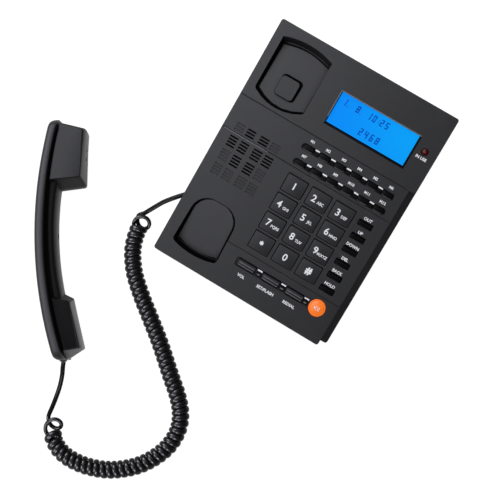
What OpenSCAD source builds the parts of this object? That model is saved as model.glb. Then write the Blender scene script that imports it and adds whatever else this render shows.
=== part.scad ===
// Corded desk telephone: a wedge-shaped base, and a handset that lies beside it on a curly cord.
// Millimetres. X runs to the right, Y to the rear and Z up.
// The origin is on the desk, under the middle of the set.
// Pieces are drawn about the middle of the base, and then moved by set_at.
// Places on the sloping face are given as x from its left edge, t from its rear edge and n out of the face.

/* [Base] */
// Width of the base
base_w = 162; // [161:1:170]
// Length of the sloping face, from front to rear
face_l = 213; // [212:1:222]
// Slope of the face in degrees
slope = 11.5; // [10.5:0.5:13]
// Height of the front edge of the face above the desk
front_h = 26; // [25:1:30]
// Wall thickness of the two covers
wall = 2.5; // [2.3:0.1:2.6]
// Height of the joint between the covers above the desk
split_z = 10; // [9.5:0.5:10.5]
// Height of the rubber feet under the bottom cover
foot_h = 2.5; // [2:0.5:3]

/* [Keys] */
// Width of a dial key
dial_w = 18.4; // [16:0.2:19]
// Length of a dial key
dial_l = 15.2; // [13:0.2:15.6]
// Width of a memory key
memory_w = 9.8; // [8:0.2:10.4]
// Width of a side key
side_w = 12.3; // [10:0.1:12.6]
// Width of one of the three long keys
long_w = 16; // [13:0.5:17]
// Diameter of the round speaker button
button_d = 14.3; // [12:0.1:14.6]
// Gap between a key and the face all round
key_gap = 0.35; // [0.3:0.05:0.4]
// How far a key goes down
key_travel = 1.5; // [1:0.1:1.6]
// How far the hook plunger goes down
hook_travel = 3.5; // [2.5:0.1:3.8]

/* [Handset] */
// Width of the handset
handset_w = 44; // [43:0.5:46]
// Length of the handset
handset_l = 195; // [194:0.5:197]
// Radius of the curved back of the handset
back_r = 350; // [345:1:356]
// Thickness of the back shell from the seam to the back
back_depth = 7.2; // [7:0.1:7.6]

/* [Cord] */
// Diameter of the cord's strand
strand_d = 3.4; // [3:0.1:3.5]
// Outside diameter of the curls
curl_d = 15; // [13.8:0.2:15.4]
// Number of curls
curls = 60.25; // [54.25:1:62.25]

/* [Hidden] */
$fn = 64;
memory_names = [for (i = [1:12]) str("memory_key_", i)];
dial_names = [for (k = ["1", "2", "3", "4", "5", "6", "7", "8", "9", "star", "0", "hash"]) str("key_", k)];
side_names = [for (i = [1:6]) str("side_key_", i)];
long_names = [for (i = [1:3]) str("row_key_", i)];

// From the middle of the base to the middle of the set: base and handset together
set_at = [62.8, 59.3, 0];

// Colours
charcoal = [0.25, 0.25, 0.27];
key_grey = [0.17, 0.17, 0.18];
black = [0.06, 0.06, 0.06];
steel = [0.7, 0.7, 0.72];
board_green = [0.1, 0.35, 0.2];

// The base in plan and in height
ground_l = face_l * cos(slope);
floor_z = foot_h + wall;
strip_w = 5.5;
notch_l = 5;
corner_r = 2;
tall = 2 * (front_h + face_l * sin(slope));

// The layout spreads with the face: places are shares of its width and of its length from the rear
function across(share) = share * base_w;
function down(share) = share * face_l;

// Lines across the face, as t
line_ts = [for (share = [0.3192, 0.4596, 0.8324]) down(share)];
line_ends = [[1, across(0.9568)], [1, across(0.9568)], [50, across(0.9599)]];
line_d = 0.6;

// Cradles: middle x, width, and t of the rear and front edges
ear_x = 30.2;
ear_w = 44.9;
ear_rear = 7.9;
ear_front = 64.9;
ear_depths = [9, 3];
ear_lean = 24;
ear_arc = 71;
mouth_x = 30.7;
mouth_w = 41.2;
mouth_rear = face_l - 59.5;
mouth_front = face_l - 10.8;
mouth_depths = [0.3, 9.5];
mouth_lean = 20;
mouth_arc = 70;

// Hook plunger, in the ear cradle
hook_x = 30.8;
hook_t = 46.3;
hook_w = 16;
hook_l = 16.4;
hook_top = -1.5;
hook_seat = -10;
hook_board_n = -20;
hook_post_dx = 12.6;

// Face levels of the pieces under the cover
plate_n = -wall;
flange_t = 1.2;
flange_edge = 0.8;
mat_top = -6;
board_top = -7.2;
board_t = 1.6;

// Keys: columns and rows
dial_xs = [for (share = [0.4673, 0.6037, 0.7401]) across(share)];
dial_ts = [for (share = [0.5211, 0.6047, 0.6878, 0.7714]) down(share)];
memory_x = across(0.4346);
memory_pitch = across(0.0898);
memory_ts = [for (share = [0.3723, 0.4366]) down(share)];
memory_l = 4.8;
side_x = across(0.866);
side_t = down(0.5117);
side_pitch = down(0.0573);
side_l = 4.5;
long_xs = [for (share = [0.4593, 0.6, 0.7383]) across(share)];
long_t = down(0.8779);
long_l = 6;
button_x = across(0.8691);
channel_d = 1;

// Display and lamp
display_x = across(0.658);
display_t = down(0.1901);
display_w = 72.2;
display_l = 29;
window_t = 1.5;
window_edge = 2;
led_x = (display_x + display_w / 2 + window_edge + base_w - wall) / 2 - 0.6;
led_t = down(0.1657);
led_d = 5.8;

// Loudspeaker grille: columns as [left, right], groups as [first t, rows, columns that are open]
grille_cols = [[10, 17.2], [20, 27.5], [32, 40], [42.6, 50.4]];
grille_groups = [[90, 3, [1, 2]], [101.6, 4, [0, 1, 2, 3]], [114.3, 4, [1, 2]], [127, 4, []]];
grille_pitch = 2.58;
slot_l = 1.25;
blind_d = 0.45;
speaker_x = 30.2;
speaker_t = 108;
speaker_d = 50;

// Posts and screws
board_posts = [for (t = [0.2911, 0.9296], x = [0.3858, 0.9506]) [across(x), down(t)]];
board_rear = down(0.0939);
board_edge = 2.25;
case_posts = [
    [6 - base_w / 2, 6.4 - ground_l / 2], [base_w / 2 - 15, 7.4 - ground_l / 2],
    [63 - base_w / 2, ground_l / 2 - 9.4], [base_w / 2 - 11, ground_l / 2 - 9.4]];
feet_at = [for (x = [-1, 1], y = [-1, 1]) [x * (base_w / 2 - 21), y * (ground_l / 2 - 20.4)]];
foot_d = 14;
keyhole_ys = [-50, 50];
keyhole_r = 4.25;

// Sockets and plugs
jack_y = -50;
jack_z = 17;
jack_in = 10;
plug_w = 7.6;
plug_t = 5.6;
line_x = 35;
line_z = 19;
pedestal_z = 12;

// The handset lies on its side: u along it from the middle, v from its front to its back
handset_at = [-153.3, -142];
handset_turn = 123.5;
back_sag = 13.2;
arc_v = back_sag - back_r;
seam_gap = 0.15;
skin = 2;
end_u = handset_l / 2;
ear_cap_u = end_u - 27.3;
ear_cap_v = -25.55;
ear_cap_turn = -3.81;
mouth_cap_u = 27.5 - end_u;
mouth_cap_v = -14.94;
mouth_cap_turn = 9.98;
socket_v = -5.6;
socket_u = 8.1 - end_u;
plug_out = -1.5;
plug_l = 16;
cord_end_u = -end_u - plug_out;
cord_clear = 0.2;
screw_u = 4;

// The handle between the caps: its middle and half length on the inner edge, and how far its sides stand in
handle_u = 2;
handle_v = 0.8;
handle_half = end_u - 55.5;
handle_rise = 3.1;
handle_round = 0.79;
handle_r = handle_round * handle_half * handle_half / handle_rise;
handle_from = 43.5 - end_u;
handle_to = end_u - 47.5;
handle_in = 5;
ledge_t = 1.6;

// The cord's route from the base plug to the handset plug: a plain lead, the curls and another plain lead
function handset_point(u, v, z) = [
    handset_at.x + u * cos(handset_turn) - v * sin(handset_turn),
    handset_at.y + u * sin(handset_turn) + v * cos(handset_turn),
    z];
curl_z = curl_d / 2 + 0.3;
base_exit = [-base_w / 2 + 5.5, jack_y, jack_z];
handset_exit = handset_point(cord_end_u - cord_clear, socket_v, handset_w / 2);
lead_in = [
    base_exit, base_exit - [strand_d, 0, 0], [-87, -53, 14], [-93, -60, 8.5], [-99, -69, 4.5],
    [-105, -80, 5]];
curl_route = [
    [-107, -90], [-104, -102], [-98, -115], [-90, -127], [-77, -138.5], [-58, -153], [-37.5, -169.5],
    [-17.5, -186.5], [-2.5, -199], [8, -211.5], [13, -225], [12, -241], [4.5, -257], [-6.5, -270.5],
    [-21.5, -281.5], [-39, -288.5], [-56, -290], [-69, -285.5], [-76.5, -276]];
lead_out = [
    [-84.5, -267, 5], [-87, -256, 4], [-89.5, -245, 8.5], [-91.5, -236, 15],
    handset_point(cord_end_u - strand_d, socket_v, handset_w / 2), handset_exit];
loose_pitch = 9;
// The last curl is an open ring that lies over towards the handset
ring_pitch = 12;
ring_turns = 1.25;
ring_lean = 58;
ring_drop = 2.2;
lead_step = 5;
curl_rings = 8;
tube_sides = 6;

// Unit vector
function unit(a) = a / norm(a);

// The shorter way round from one angle to another
function swing(a, b) = let(d = b - a) d > 180 ? d - 360 : d < -180 ? d + 360 : d;

// The arc that rounds corner b between a and c
function corner_arc(a, b, c, r, steps = 6) =
    let(u = unit(a - b), v = unit(c - b), half = acos(u * v) / 2,
        m = b + unit(u + v) * r / sin(half),
        p = b + u * r / tan(half) - m, q = b + v * r / tan(half) - m,
        from = atan2(p.y, p.x), turn = swing(from, atan2(q.y, q.x)))
    [for (i = [0:steps]) m + r * [cos(from + turn * i / steps), sin(from + turn * i / steps)]];

// A closed outline from corners [x, y, radius]
function outline(c) = let(n = len(c), p = [for (k = c) [k.x, k.y]])
    [for (i = [0:n - 1])
        each c[i].z > 0 ? corner_arc(p[(i + n - 1) % n], p[i], p[(i + 1) % n], c[i].z) : [p[i]]];

// A rounded rectangle about the origin
function block(w, l, r) =
    outline([[-w / 2, -l / 2, r], [w / 2, -l / 2, r], [w / 2, l / 2, r], [-w / 2, l / 2, r]]);

// The base in plan, drawn in by some distance
function plan(inset) = let(x = base_w / 2 - inset, y = ground_l / 2 - inset, r = max(corner_r - inset, 0.5))
    outline([[-x, -y, r], [x - strip_w, -y, r], [x - strip_w, notch_l - y, 0.5], [x, notch_l - y, r],
             [x, y, r], [-x, y, r]]);

// Cradle outlines, grown by some distance; y is minus t
function ear_outline(g) = let(x = ear_w / 2 + g)
    outline([[-x, 6.9 - ear_front - g, 2.5], [0, -ear_front - 6.3 - g, 40], [x, 6.9 - ear_front - g, 2.5],
             [x, 0, 0], [-x, 0, 0]]);
function mouth_outline(g) = let(x = mouth_w / 2 + g)
    outline([[-x, 3.6 - mouth_front - g, 3], [0, -mouth_front - 3.4 - g, 55], [x, 3.6 - mouth_front - g, 3],
             [x - 1.2, -mouth_rear + g, 15], [1.2 - x, -mouth_rear + g, 15]]);

// The handset's side outline in front of the seam, drawn in by some distance
function front_outline(i) = outline([
    [end_u - 3.5 - i, 12, 0], [end_u - 3.7 - i, -7, 0], [end_u - 8.5 - i, i - 26.8, 2.5],
    [end_u - 48.5 + i, i - 24.3, 3.5], [handle_u + handle_half + i, i + handle_v - handle_rise, 3],
    [handle_u, i + handle_v, handle_r],
    [56.5 - end_u - i, i - 2.4, 4], [46.5 - end_u - i, i - 11.6, 3], [9 - end_u + i, i - 18.2, 2.5],
    [3 - end_u + i, -5, 3], [1.5 - end_u + i, 12, 0]]);

// A smooth curve through points, with its length so far: [length, point]
samples = 24;
function smooth_point(p, k, f) =
    let(a = p[max(k - 1, 0)], b = p[k], c = p[k + 1], d = p[min(k + 2, len(p) - 1)])
    0.5 * (2 * b + (c - a) * f + (2 * a - 5 * b + 4 * c - d) * f * f + (3 * b - a - 3 * c + d) * f * f * f);
function smooth_line(p) = concat(
    [for (k = [0:len(p) - 2]) for (i = [0:samples - 1]) smooth_point(p, k, i / samples)], [p[len(p) - 1]]);
function step_l(p, i) = i + 1 < len(p) ? norm(p[i + 1] - p[i]) : 0;
function measured(p) = [for (i = 0, s = 0; i < len(p); s = s + step_l(p, i), i = i + 1) [s, p[i]]];

// The cord's middle line and the strand that curls round it
route = measured(smooth_line(concat(lead_in, [for (p = curl_route) [p.x, p.y, curl_z]], [lead_out[0]])));
curl_from = route[len(lead_in) * samples][0];
curl_to = route[(len(lead_in) + len(curl_route) - 1) * samples][0];
curl_r = (curl_d - strand_d) / 2;
ring_from = curls - ring_turns;
curl_pitch = (curl_to - curl_from - loose_pitch - ring_turns * ring_pitch) / (ring_from - 1);
function on_line(line, s) = [for (k = [0:2]) lookup(s, [for (r = line) [r[0], r[1][k]]])];
function ease(f) = let(g = min(max(f, 0), 1)) g * g * (3 - 2 * g);
function curl_s(c) = curl_from + min(c, 1) * loose_pitch + max(min(c, ring_from) - 1, 0) * curl_pitch
    + max(c - ring_from, 0) * ring_pitch;
function strand_point(c) =
    let(s = curl_s(c), along = unit(on_line(route, s + 0.5) - on_line(route, s - 0.5)),
        side = unit(cross([0, 0, 1], along)), over = ease((c - ring_from) / (0.8 * ring_turns)),
        up = cos(ring_lean * over) * cross(along, side) + sin(ring_lean * over) * along)
    on_line(route, s) - [0, 0, ring_drop * over]
        + curl_r * ease(c / 0.8) * (cos(360 * c - 90) * side + sin(360 * c - 90) * up);
ring_end = strand_point(curls);
out_line = measured(smooth_line(concat([strand_point(curls - 1 / curl_rings), ring_end], lead_out)));
out_from = out_line[samples][0];
out_l = out_line[len(out_line) - 1][0];
lead_in_n = ceil(curl_from / lead_step);
lead_out_n = ceil((out_l - out_from) / lead_step);
strand = concat(
    [base_exit],
    [for (i = [0:lead_in_n - 1]) on_line(route, strand_d + (curl_from - strand_d) * i / lead_in_n)],
    [for (i = [0:curls * curl_rings]) strand_point(i / curl_rings)],
    [for (i = [1:lead_out_n]) on_line(out_line, out_from + (out_l - strand_d - out_from) * i / lead_out_n)],
    [handset_exit]);
apart = 6;
strand_gap = min([for (i = [0:len(strand) - 1 - apart]) for (j = [i + apart:len(strand) - 1])
    norm(strand[i] - strand[j])]) - strand_d;

// The hook spring's wire, about the plunger's axis
spring_wire = 0.8;
spring_d = 9;
spring_turns = 4;
spring_low = hook_board_n + spring_wire / 2 + 0.1;
spring_high = hook_seat - flange_t - 0.5 - spring_wire / 2;
spring = [for (i = [0:spring_turns * curl_rings]) let(a = 360 * i / curl_rings)
    [(spring_d - spring_wire) / 2 * cos(a), (spring_d - spring_wire) / 2 * sin(a),
     spring_low + (spring_high - spring_low) * i / (spring_turns * curl_rings)]];

// Least gap of the cord to itself
strand_l = measured(strand)[len(strand) - 1][0];
echo(least_cord_gap_mm = strand_gap, strand_length_mm = strand_l, pitch_mm = curl_pitch);

// A round tube of triangles along points, without twist
module tube(p, d) {
    n = len(p);
    dirs = [for (i = [0:n - 1]) unit(p[min(i + 1, n - 1)] - p[max(i - 1, 0)])];
    first = unit(cross(dirs[0], abs(dirs[0].z) < 0.9 ? [0, 0, 1] : [1, 0, 0]));
    sides = [for (i = 0, e = first; i < n;
        e = i + 1 < n ? unit(e - (e * dirs[i + 1]) * dirs[i + 1]) : e, i = i + 1) e];
    points = [for (i = [0:n - 1]) for (j = [0:tube_sides - 1]) let(a = 360 * j / tube_sides)
        p[i] + d / 2 * (cos(a) * sides[i] + sin(a) * cross(dirs[i], sides[i]))];
    walls = [for (i = [0:n - 2]) for (j = [0:tube_sides - 1])
        let(a = i * tube_sides + j, b = i * tube_sides + (j + 1) % tube_sides)
        each [[a, a + tube_sides, b], [b, a + tube_sides, b + tube_sides]]];
    ends = [for (j = [1:tube_sides - 2]) each [[0, j, j + 1],
        [(n - 1) * tube_sides, (n - 1) * tube_sides + j + 1, (n - 1) * tube_sides + j]]];
    polyhedron(points, concat(walls, ends));
}

// Puts children on the face at x, t and n
module on_face(x = 0, t = 0, n = 0) {
    translate([-base_w / 2, -ground_l / 2, front_h]) rotate([slope, 0, 0]) translate([x, face_l - t, n])
        children();
}

// Everything below the face, at some depth
module under_face(depth) {
    on_face(-20, face_l + 40, -depth - tall) cube([base_w + 40, face_l + 100, tall]);
}

// An outline made into a plate between two levels
module plate(points, low, high) {
    translate([0, 0, low]) linear_extrude(height = high - low) polygon(points);
}

// Everything above a cradle's sloping floor, drop lower
module above_floor(x, t, depth, turn, drop) {
    on_face(x, t, -depth - drop) rotate([turn, 0, 0]) translate([-40, -90, 0]) cube([80, 180, 70]);
}

ear_turn = -atan((ear_depths[0] - ear_depths[1]) / (ear_front - ear_rear));
mouth_turn = atan((mouth_depths[1] - mouth_depths[0]) / (mouth_front - mouth_rear));

// Hollow of the ear cradle; its rear wall leans
module ear_space(grow, drop) {
    intersection() {
        on_face(ear_x, 0) plate(ear_outline(grow), -30, 10);
        above_floor(ear_x, ear_front, ear_depths[1], ear_turn, drop);
        on_face(ear_x, ear_rear - grow) rotate([-ear_lean, 0, 0]) translate([0, -ear_arc, -40])
            cylinder(r = ear_arc, h = 90, $fn = 160);
    }
}

// Hollow of the mouth cradle; its front wall leans
module mouth_space(grow, drop) {
    intersection() {
        on_face(mouth_x, 0) plate(mouth_outline(grow), -30, 10);
        above_floor(mouth_x, mouth_rear, mouth_depths[0], mouth_turn, drop);
        on_face(mouth_x, mouth_front + grow) rotate([mouth_lean, 0, 0]) translate([0, mouth_arc, -40])
            cylinder(r = mouth_arc, h = 90, $fn = 160);
    }
}

// One slot of the loudspeaker grille, going down to a level
module grille_slot(col, t, low) {
    on_face(col[0], t, low) translate([0, -slot_l / 2, 0]) cube([col[1] - col[0], slot_l, 1 - low]);
}

module grille() {
    for (g = grille_groups, row = [0:g[1] - 1], c = [0:3])
        grille_slot(grille_cols[c], g[0] + row * grille_pitch,
            len(search(c, g[2])) > 0 ? plate_n - 1 : -blind_d);
}

// Openings for the keys, and the channels that the memory keys and the long keys stand in
module key_openings() {
    low = plate_n - 0.5;
    grow = 2 * key_gap;
    for (x = dial_xs, t = dial_ts) on_face(x, t) plate(block(dial_w + grow, dial_l + grow, 1.2), low, 1);
    for (i = [0:5], t = memory_ts)
        on_face(memory_x + i * memory_pitch, t) plate(block(memory_w + grow, memory_l + grow, 2.4), low, 1);
    for (t = memory_ts)
        on_face(memory_x + 2.5 * memory_pitch, t)
            plate(block(5 * memory_pitch + memory_w + grow + 2, memory_l + grow, 2.5), -channel_d, 1);
    for (i = [0:5])
        on_face(side_x, side_t + i * side_pitch) plate(block(side_w + grow, side_l + grow, 0.8), low, 1);
    for (x = long_xs) on_face(x, long_t) plate(block(long_w + grow, long_l + grow, 1), low, 1);
    on_face((long_xs[0] + button_x) / 2 - 4, long_t)
        plate(block(button_x - long_xs[0] + 12, long_l + grow + 0.9, 2), -channel_d, 1);
    on_face(button_x, long_t, low) cylinder(d = button_d + grow, h = 1 - low);
}

// Upper shell of the base
module base_top_cover() color(charcoal) difference() {
    union() {
        difference() {
            intersection() {
                plate(plan(0), split_z, tall);
                under_face(0);
            }
            intersection() {
                plate(plan(wall), split_z - 1, tall);
                under_face(wall);
            }
        }
        intersection() {
            plate(plan(0.5), split_z, tall);
            under_face(0.4);
            union() {
                ear_space(skin, skin);
                mouth_space(skin, skin);
                on_face(hook_x, hook_t) plate(block(hook_w + 6, hook_l + 6, 3), hook_seat, -4);
                on_face(base_w - strip_w - 4, face_l, -6.8) cube([strip_w + 4, face_l - line_ts[0], 6.4]);
                for (p = board_posts) on_face(p.x, p.y, board_top) cylinder(d = 6, h = -board_top - 1);
                for (side = [-1, 1])
                    on_face(hook_x + side * hook_post_dx, hook_t, hook_board_n)
                        cylinder(d = 5, h = -hook_board_n - 6);
                for (p = case_posts) translate([p.x, p.y, split_z]) cylinder(d = 8, h = tall);
                on_face(speaker_x, speaker_t, -6) difference() {
                    cylinder(d = speaker_d + 4, h = 5);
                    translate([0, 0, -1]) cylinder(d = speaker_d + 0.6, h = 4.5);
                }
                translate([-base_w / 2, jack_y - 9, split_z])
                    cube([jack_in + 1.5, 18, jack_z + 8.5 - split_z]);
            }
        }
    }
    ear_space(0, 0);
    mouth_space(0, 0);
    on_face(hook_x, hook_t) plate(block(hook_w + 2 * key_gap, hook_l + 2 * key_gap, 3), hook_seat - 1, 1);
    key_openings();
    grille();
    on_face(display_x, display_t) plate(block(display_w, display_l, 0.6), plate_n - 1, 1);
    on_face(led_x, led_t, plate_n - 1) cylinder(d = led_d + 0.4, h = 5);
    for (i = [0:2])
        on_face(line_ends[i][0], line_ts[i]) rotate([45, 0, 0])
            translate([0, -line_d / 2, -line_d / 2]) cube([line_ends[i][1] - line_ends[i][0], line_d, line_d]);
    on_face(base_w - strip_w, line_ts[0]) rotate([90, 0, 0]) linear_extrude(height = face_l)
        polygon([[0, 1], [0, -0.7], [strip_w + 1, -4.4], [strip_w + 1, 1]]);
    for (p = board_posts) on_face(p.x, p.y, board_top - 1) cylinder(d = 2.2, h = 5);
    for (side = [-1, 1])
        on_face(hook_x + side * hook_post_dx, hook_t, hook_board_n - 1) cylinder(d = 2.2, h = 7);
    for (p = case_posts) translate([p.x, p.y, split_z - 1]) cylinder(d = 3.1, h = 12);
    translate([-base_w / 2 - 1, jack_y - 7.5, split_z + 1]) cube([jack_in + 1, 15, jack_z + 6 - split_z]);
    translate([-base_w / 2, jack_y - plug_w / 2 - 0.3, jack_z - plug_t / 2 - 0.3])
        cube([jack_in + 5, plug_w + 0.6, plug_t + 0.6]);
    translate([line_x - 6, ground_l / 2 - wall - 1, line_z - 5]) cube([12, wall + 2, 10]);
}

// Lower tray of the base
module base_bottom_cover() color(black) difference() {
    union() {
        difference() {
            plate(plan(0), foot_h, split_z);
            plate(plan(wall), floor_z, split_z + 1);
        }
        difference() {
            plate(plan(wall + 0.2), floor_z - 1, split_z + 1.5);
            plate(plan(wall + 1.4), floor_z - 2, split_z + 2);
            translate([-base_w / 2, jack_y - 10, floor_z]) cube([14, 20, 20]);
            for (p = case_posts) translate([p.x, p.y, split_z]) cylinder(d = 9, h = 5);
            on_face(base_w - strip_w - 6, face_l, -7.5) cube([strip_w + 6, face_l, 10]);
        }
        for (p = case_posts) translate([p.x, p.y, foot_h]) cylinder(d = 9, h = split_z - foot_h);
        translate([-base_w / 2 + jack_in + 1.5, jack_y - 8, floor_z - 1])
            cube([15.5, 16, split_z - floor_z + 1]);
        translate([line_x - 8, ground_l / 2 - wall - 16.5, floor_z - 1])
            cube([16, 16, pedestal_z - floor_z + 1]);
    }
    for (p = case_posts) {
        translate([p.x, p.y, foot_h - 1]) cylinder(d = 3.4, h = 20);
        translate([p.x, p.y, foot_h - 1]) cylinder(d = 6.6, h = 4.5);
    }
    for (p = feet_at) translate([p.x, p.y, foot_h - 1]) cylinder(d = foot_d + 0.3, h = 1.8);
    for (y = keyhole_ys) translate([0, y, foot_h - 1]) {
        cylinder(r = keyhole_r, h = wall + 2);
        translate([-2.1, 0, 0]) cube([4.2, 11, wall + 2]);
    }
    for (i = [-3:3]) translate([-62, i * 6 - 1.2, foot_h - 1]) cube([34, 2.4, wall + 2]);
}

// Four rubber feet
module rubber_feet() color(black) for (p = feet_at) translate([p.x, p.y, 0]) {
    cylinder(d1 = foot_d - 1.6, d2 = foot_d, h = 0.8);
    translate([0, 0, 0.8]) cylinder(d = foot_d, h = foot_h);
}

// Four screws that hold the covers together
module case_screws() color(steel) for (p = case_posts) translate([p.x, p.y, foot_h + 1]) difference() {
    union() {
        cylinder(d = 6, h = 2.5);
        cylinder(d = 3, h = 14);
    }
    for (a = [0, 90]) rotate([0, 0, a]) translate([-2, -0.4, -1]) cube([4, 0.8, 2]);
}

// Clear window under the display opening
module display_window() color([0.6, 0.7, 0.8, 0.5]) on_face(display_x, display_t)
    plate(block(display_w + 2 * window_edge, display_l + 2 * window_edge, 1), plate_n - window_t, plate_n);

// Display glass in its frame, standing on the main board
module lcd_module() color([0, 0.45, 0.95]) on_face(display_x, display_t) {
    plate(block(display_w + 2 * window_edge, display_l + 2 * window_edge, 0.6),
        board_top, plate_n - window_t - 0.6);
    plate(block(display_w, display_l, 0.6), plate_n - window_t - 0.6, plate_n - window_t);
}

// Round lamp on the main board, with its domed end in the face
module in_use_led() color([0.6, 0.05, 0.05]) on_face(led_x, led_t) {
    translate([0, 0, board_top]) cylinder(d = led_d + 0.8, h = 1);
    translate([0, 0, board_top]) cylinder(d = led_d, h = -board_top - 0.4);
    intersection() {
        translate([0, 0, -5.4]) sphere(r = 6.2);
        translate([0, 0, -2]) cylinder(d = led_d, h = 4);
    }
}

// Loudspeaker: flange, basket and magnet
module loudspeaker() color(black) on_face(speaker_x, speaker_t, plate_n - 0.1) difference() {
    union() {
        translate([0, 0, -2]) cylinder(d = speaker_d, h = 2);
        translate([0, 0, -11]) cylinder(d1 = 26, d2 = speaker_d - 6, h = 9);
        translate([0, 0, -18]) cylinder(d = 30, h = 7);
    }
    translate([0, 0, -9]) cylinder(d1 = 16, d2 = speaker_d - 9, h = 9.5);
}

// Circuit board under the keys and the display
module main_board() color(board_green) difference() {
    rear_post = board_posts[0];
    front_post = board_posts[3];
    w = front_post.x - rear_post.x + 2 * board_edge;
    l = front_post.y + 4 - board_rear;
    on_face((rear_post.x + front_post.x) / 2, board_rear + l / 2)
        plate(block(w, l, 2), board_top - board_t, board_top);
    for (p = board_posts) on_face(p.x, p.y, board_top - 5) cylinder(d = 2.4, h = 10);
}

// Screws through the two boards
module board_screw() {
    cylinder(d = 4.4, h = 1.6);
    cylinder(d = 2.1, h = 1.6 + board_t + 3);
}
module board_screws() color(steel) {
    for (p = board_posts) on_face(p.x, p.y, board_top - board_t - 1.6) board_screw();
    for (side = [-1, 1])
        on_face(hook_x + side * hook_post_dx, hook_t, hook_board_n - board_t - 1.6) board_screw();
}

// Rubber contact sheet on the board
module key_mat() color([0.5, 0.5, 0.52]) {
    rear = line_ts[0] + 1.5;
    front = long_t + 6.5;
    w = board_posts[1].x - board_posts[0].x - 7.5;
    on_face((board_posts[0].x + board_posts[1].x) / 2, (rear + front) / 2)
        plate(block(w, front - rear, 2), board_top, mat_top);
}

// Board with the microswitch that the plunger works
module hook_board() color(board_green) {
    difference() {
        on_face(hook_x, hook_t) plate(block(32, 22, 1.5), hook_board_n - board_t, hook_board_n);
        for (side = [-1, 1])
            on_face(hook_x + side * hook_post_dx, hook_t, hook_board_n - 5) cylinder(d = 2.4, h = 10);
    }
    on_face(hook_x, hook_t + 7.5, hook_board_n) translate([-5.5, -1.8, 0]) cube([11, 3.6, 4.6]);
}

// Coil spring under the plunger
module hook_spring() color(steel) on_face(hook_x, hook_t) tube(spring, spring_wire);

// Hook plunger: cap in the cradle, flange under it and a stem that guides the spring
module hook_plunger() color(charcoal) on_face(hook_x, hook_t) {
    plate(block(hook_w, hook_l, 2.8), hook_seat - 1, hook_top);
    plate(block(hook_w + 2.6, hook_l + 2.6, 3), hook_seat - 0.1 - flange_t - 0.3, hook_seat - 0.1);
    translate([0, 0, hook_board_n + hook_travel + 0.4]) cylinder(d = 5, h = 7);
}

// A key: cap through the face, flange under it and a foot over the mat
module key_cap(w, l, r, rise) {
    plate(block(w, l, r), plate_n - 0.5, rise);
    plate(block(w + 2 * flange_edge, l, r), plate_n - 0.1 - flange_t, plate_n - 0.1);
    plate(block(w / 2, l / 2, 0.5), mat_top + key_travel + 0.1, plate_n - 0.5);
}
module dial_key(i) color(key_grey)
    on_face(dial_xs[i % 3], dial_ts[floor(i / 3)]) key_cap(dial_w, dial_l, 1, 0.6);
module memory_key(i) color(key_grey)
    on_face(memory_x + (i % 6) * memory_pitch, memory_ts[floor(i / 6)]) key_cap(memory_w, memory_l, 2.2, 0.7);
module side_key(i) color(key_grey)
    on_face(side_x, side_t + i * side_pitch) key_cap(side_w, side_l, 0.7, 0.8);
module long_key(i) color(key_grey) on_face(long_xs[i], long_t) key_cap(long_w, long_l, 0.8, 0.8);

// Round orange speaker button with a low dome
module speaker_button() color([0.98, 0.5, 0.2]) on_face(button_x, long_t) {
    translate([0, 0, plate_n - 0.5]) cylinder(d = button_d, h = 3.4);
    intersection() {
        translate([0, 0, -17]) sphere(r = 19);
        translate([0, 0, -0.5]) cylinder(d = button_d, h = 4);
    }
    translate([0, 0, plate_n - 0.1 - flange_t]) cylinder(d = button_d + 2 * flange_edge, h = flange_t);
    translate([0, 0, mat_top + key_travel + 0.1]) cylinder(d = 7, h = 2);
}

// Socket for the cord's plug, open towards -X
module handset_jack() color(black) difference() {
    translate([-base_w / 2 + jack_in + 1.5, jack_y - 7, split_z]) cube([14.5, 14, 14]);
    translate([-base_w / 2 + jack_in, jack_y - plug_w / 2 - 0.2, jack_z - plug_t / 2 - 0.2])
        cube([13.5, plug_w + 0.4, plug_t + 0.4]);
}

// Socket for the telephone line, open to the rear
module line_jack() color(black) difference() {
    translate([line_x - 7.5, ground_l / 2 - wall - 16, pedestal_z]) cube([15, 16, 14]);
    translate([line_x - 4.9, ground_l / 2 - wall - 13, line_z - 3.4]) cube([9.8, 14, 6.8]);
}

// Plug at the base end of the cord
module base_cord_plug() color([0.15, 0.15, 0.16])
    translate([base_exit.x, jack_y - plug_w / 2, jack_z - plug_t / 2]) cube([plug_l, plug_w, plug_t]);

// The curly cord, one tube from plug to plug
module handset_cord() color(black) tube(strand, strand_d);

// Puts children on the lying handset
module on_handset() {
    translate([handset_at.x, handset_at.y, 0]) rotate([0, 0, handset_turn]) children();
}

// The handset's outline from the front, as a block through it, drawn in by some distance
module handset_block(inset, long) {
    translate([0, 60, handset_w / 2]) rotate([90, 0, 0]) linear_extrude(height = 120)
        polygon(block(long - 2 * inset, handset_w - 2 * inset, 8 - inset));
}

// A tall round of the handset's back curve
module back_round(r) {
    translate([0, arc_v, -1]) cylinder(r = r, h = handset_w + 2, $fn = 240);
}

// The opening for the cord's plug
module plug_way() {
    translate([-end_u - 3, socket_v - plug_t / 2 - 0.3, handset_w / 2 - plug_w / 2 - 0.3])
        cube([12, plug_t + 0.6, plug_w + 0.6]);
}

// Back shell of the handset
module handset_back_shell() color(charcoal) on_handset() difference() {
    union() {
        intersection() {
            handset_block(0, handset_l);
            difference() {
                back_round(back_r);
                intersection() {
                    back_round(back_r - skin);
                    handset_block(skin, handset_l);
                }
                back_round(back_r - back_depth);
            }
        }
        intersection() {
            back_round(back_r - skin / 2);
            translate([screw_u, back_sag - back_depth + seam_gap, handset_w / 2]) rotate([-90, 0, 0])
                cylinder(d = 7, h = 8);
        }
    }
    translate([screw_u, 0, handset_w / 2]) rotate([-90, 0, 0]) cylinder(d = 2.7, h = 11);
    plug_way();
}

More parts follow.
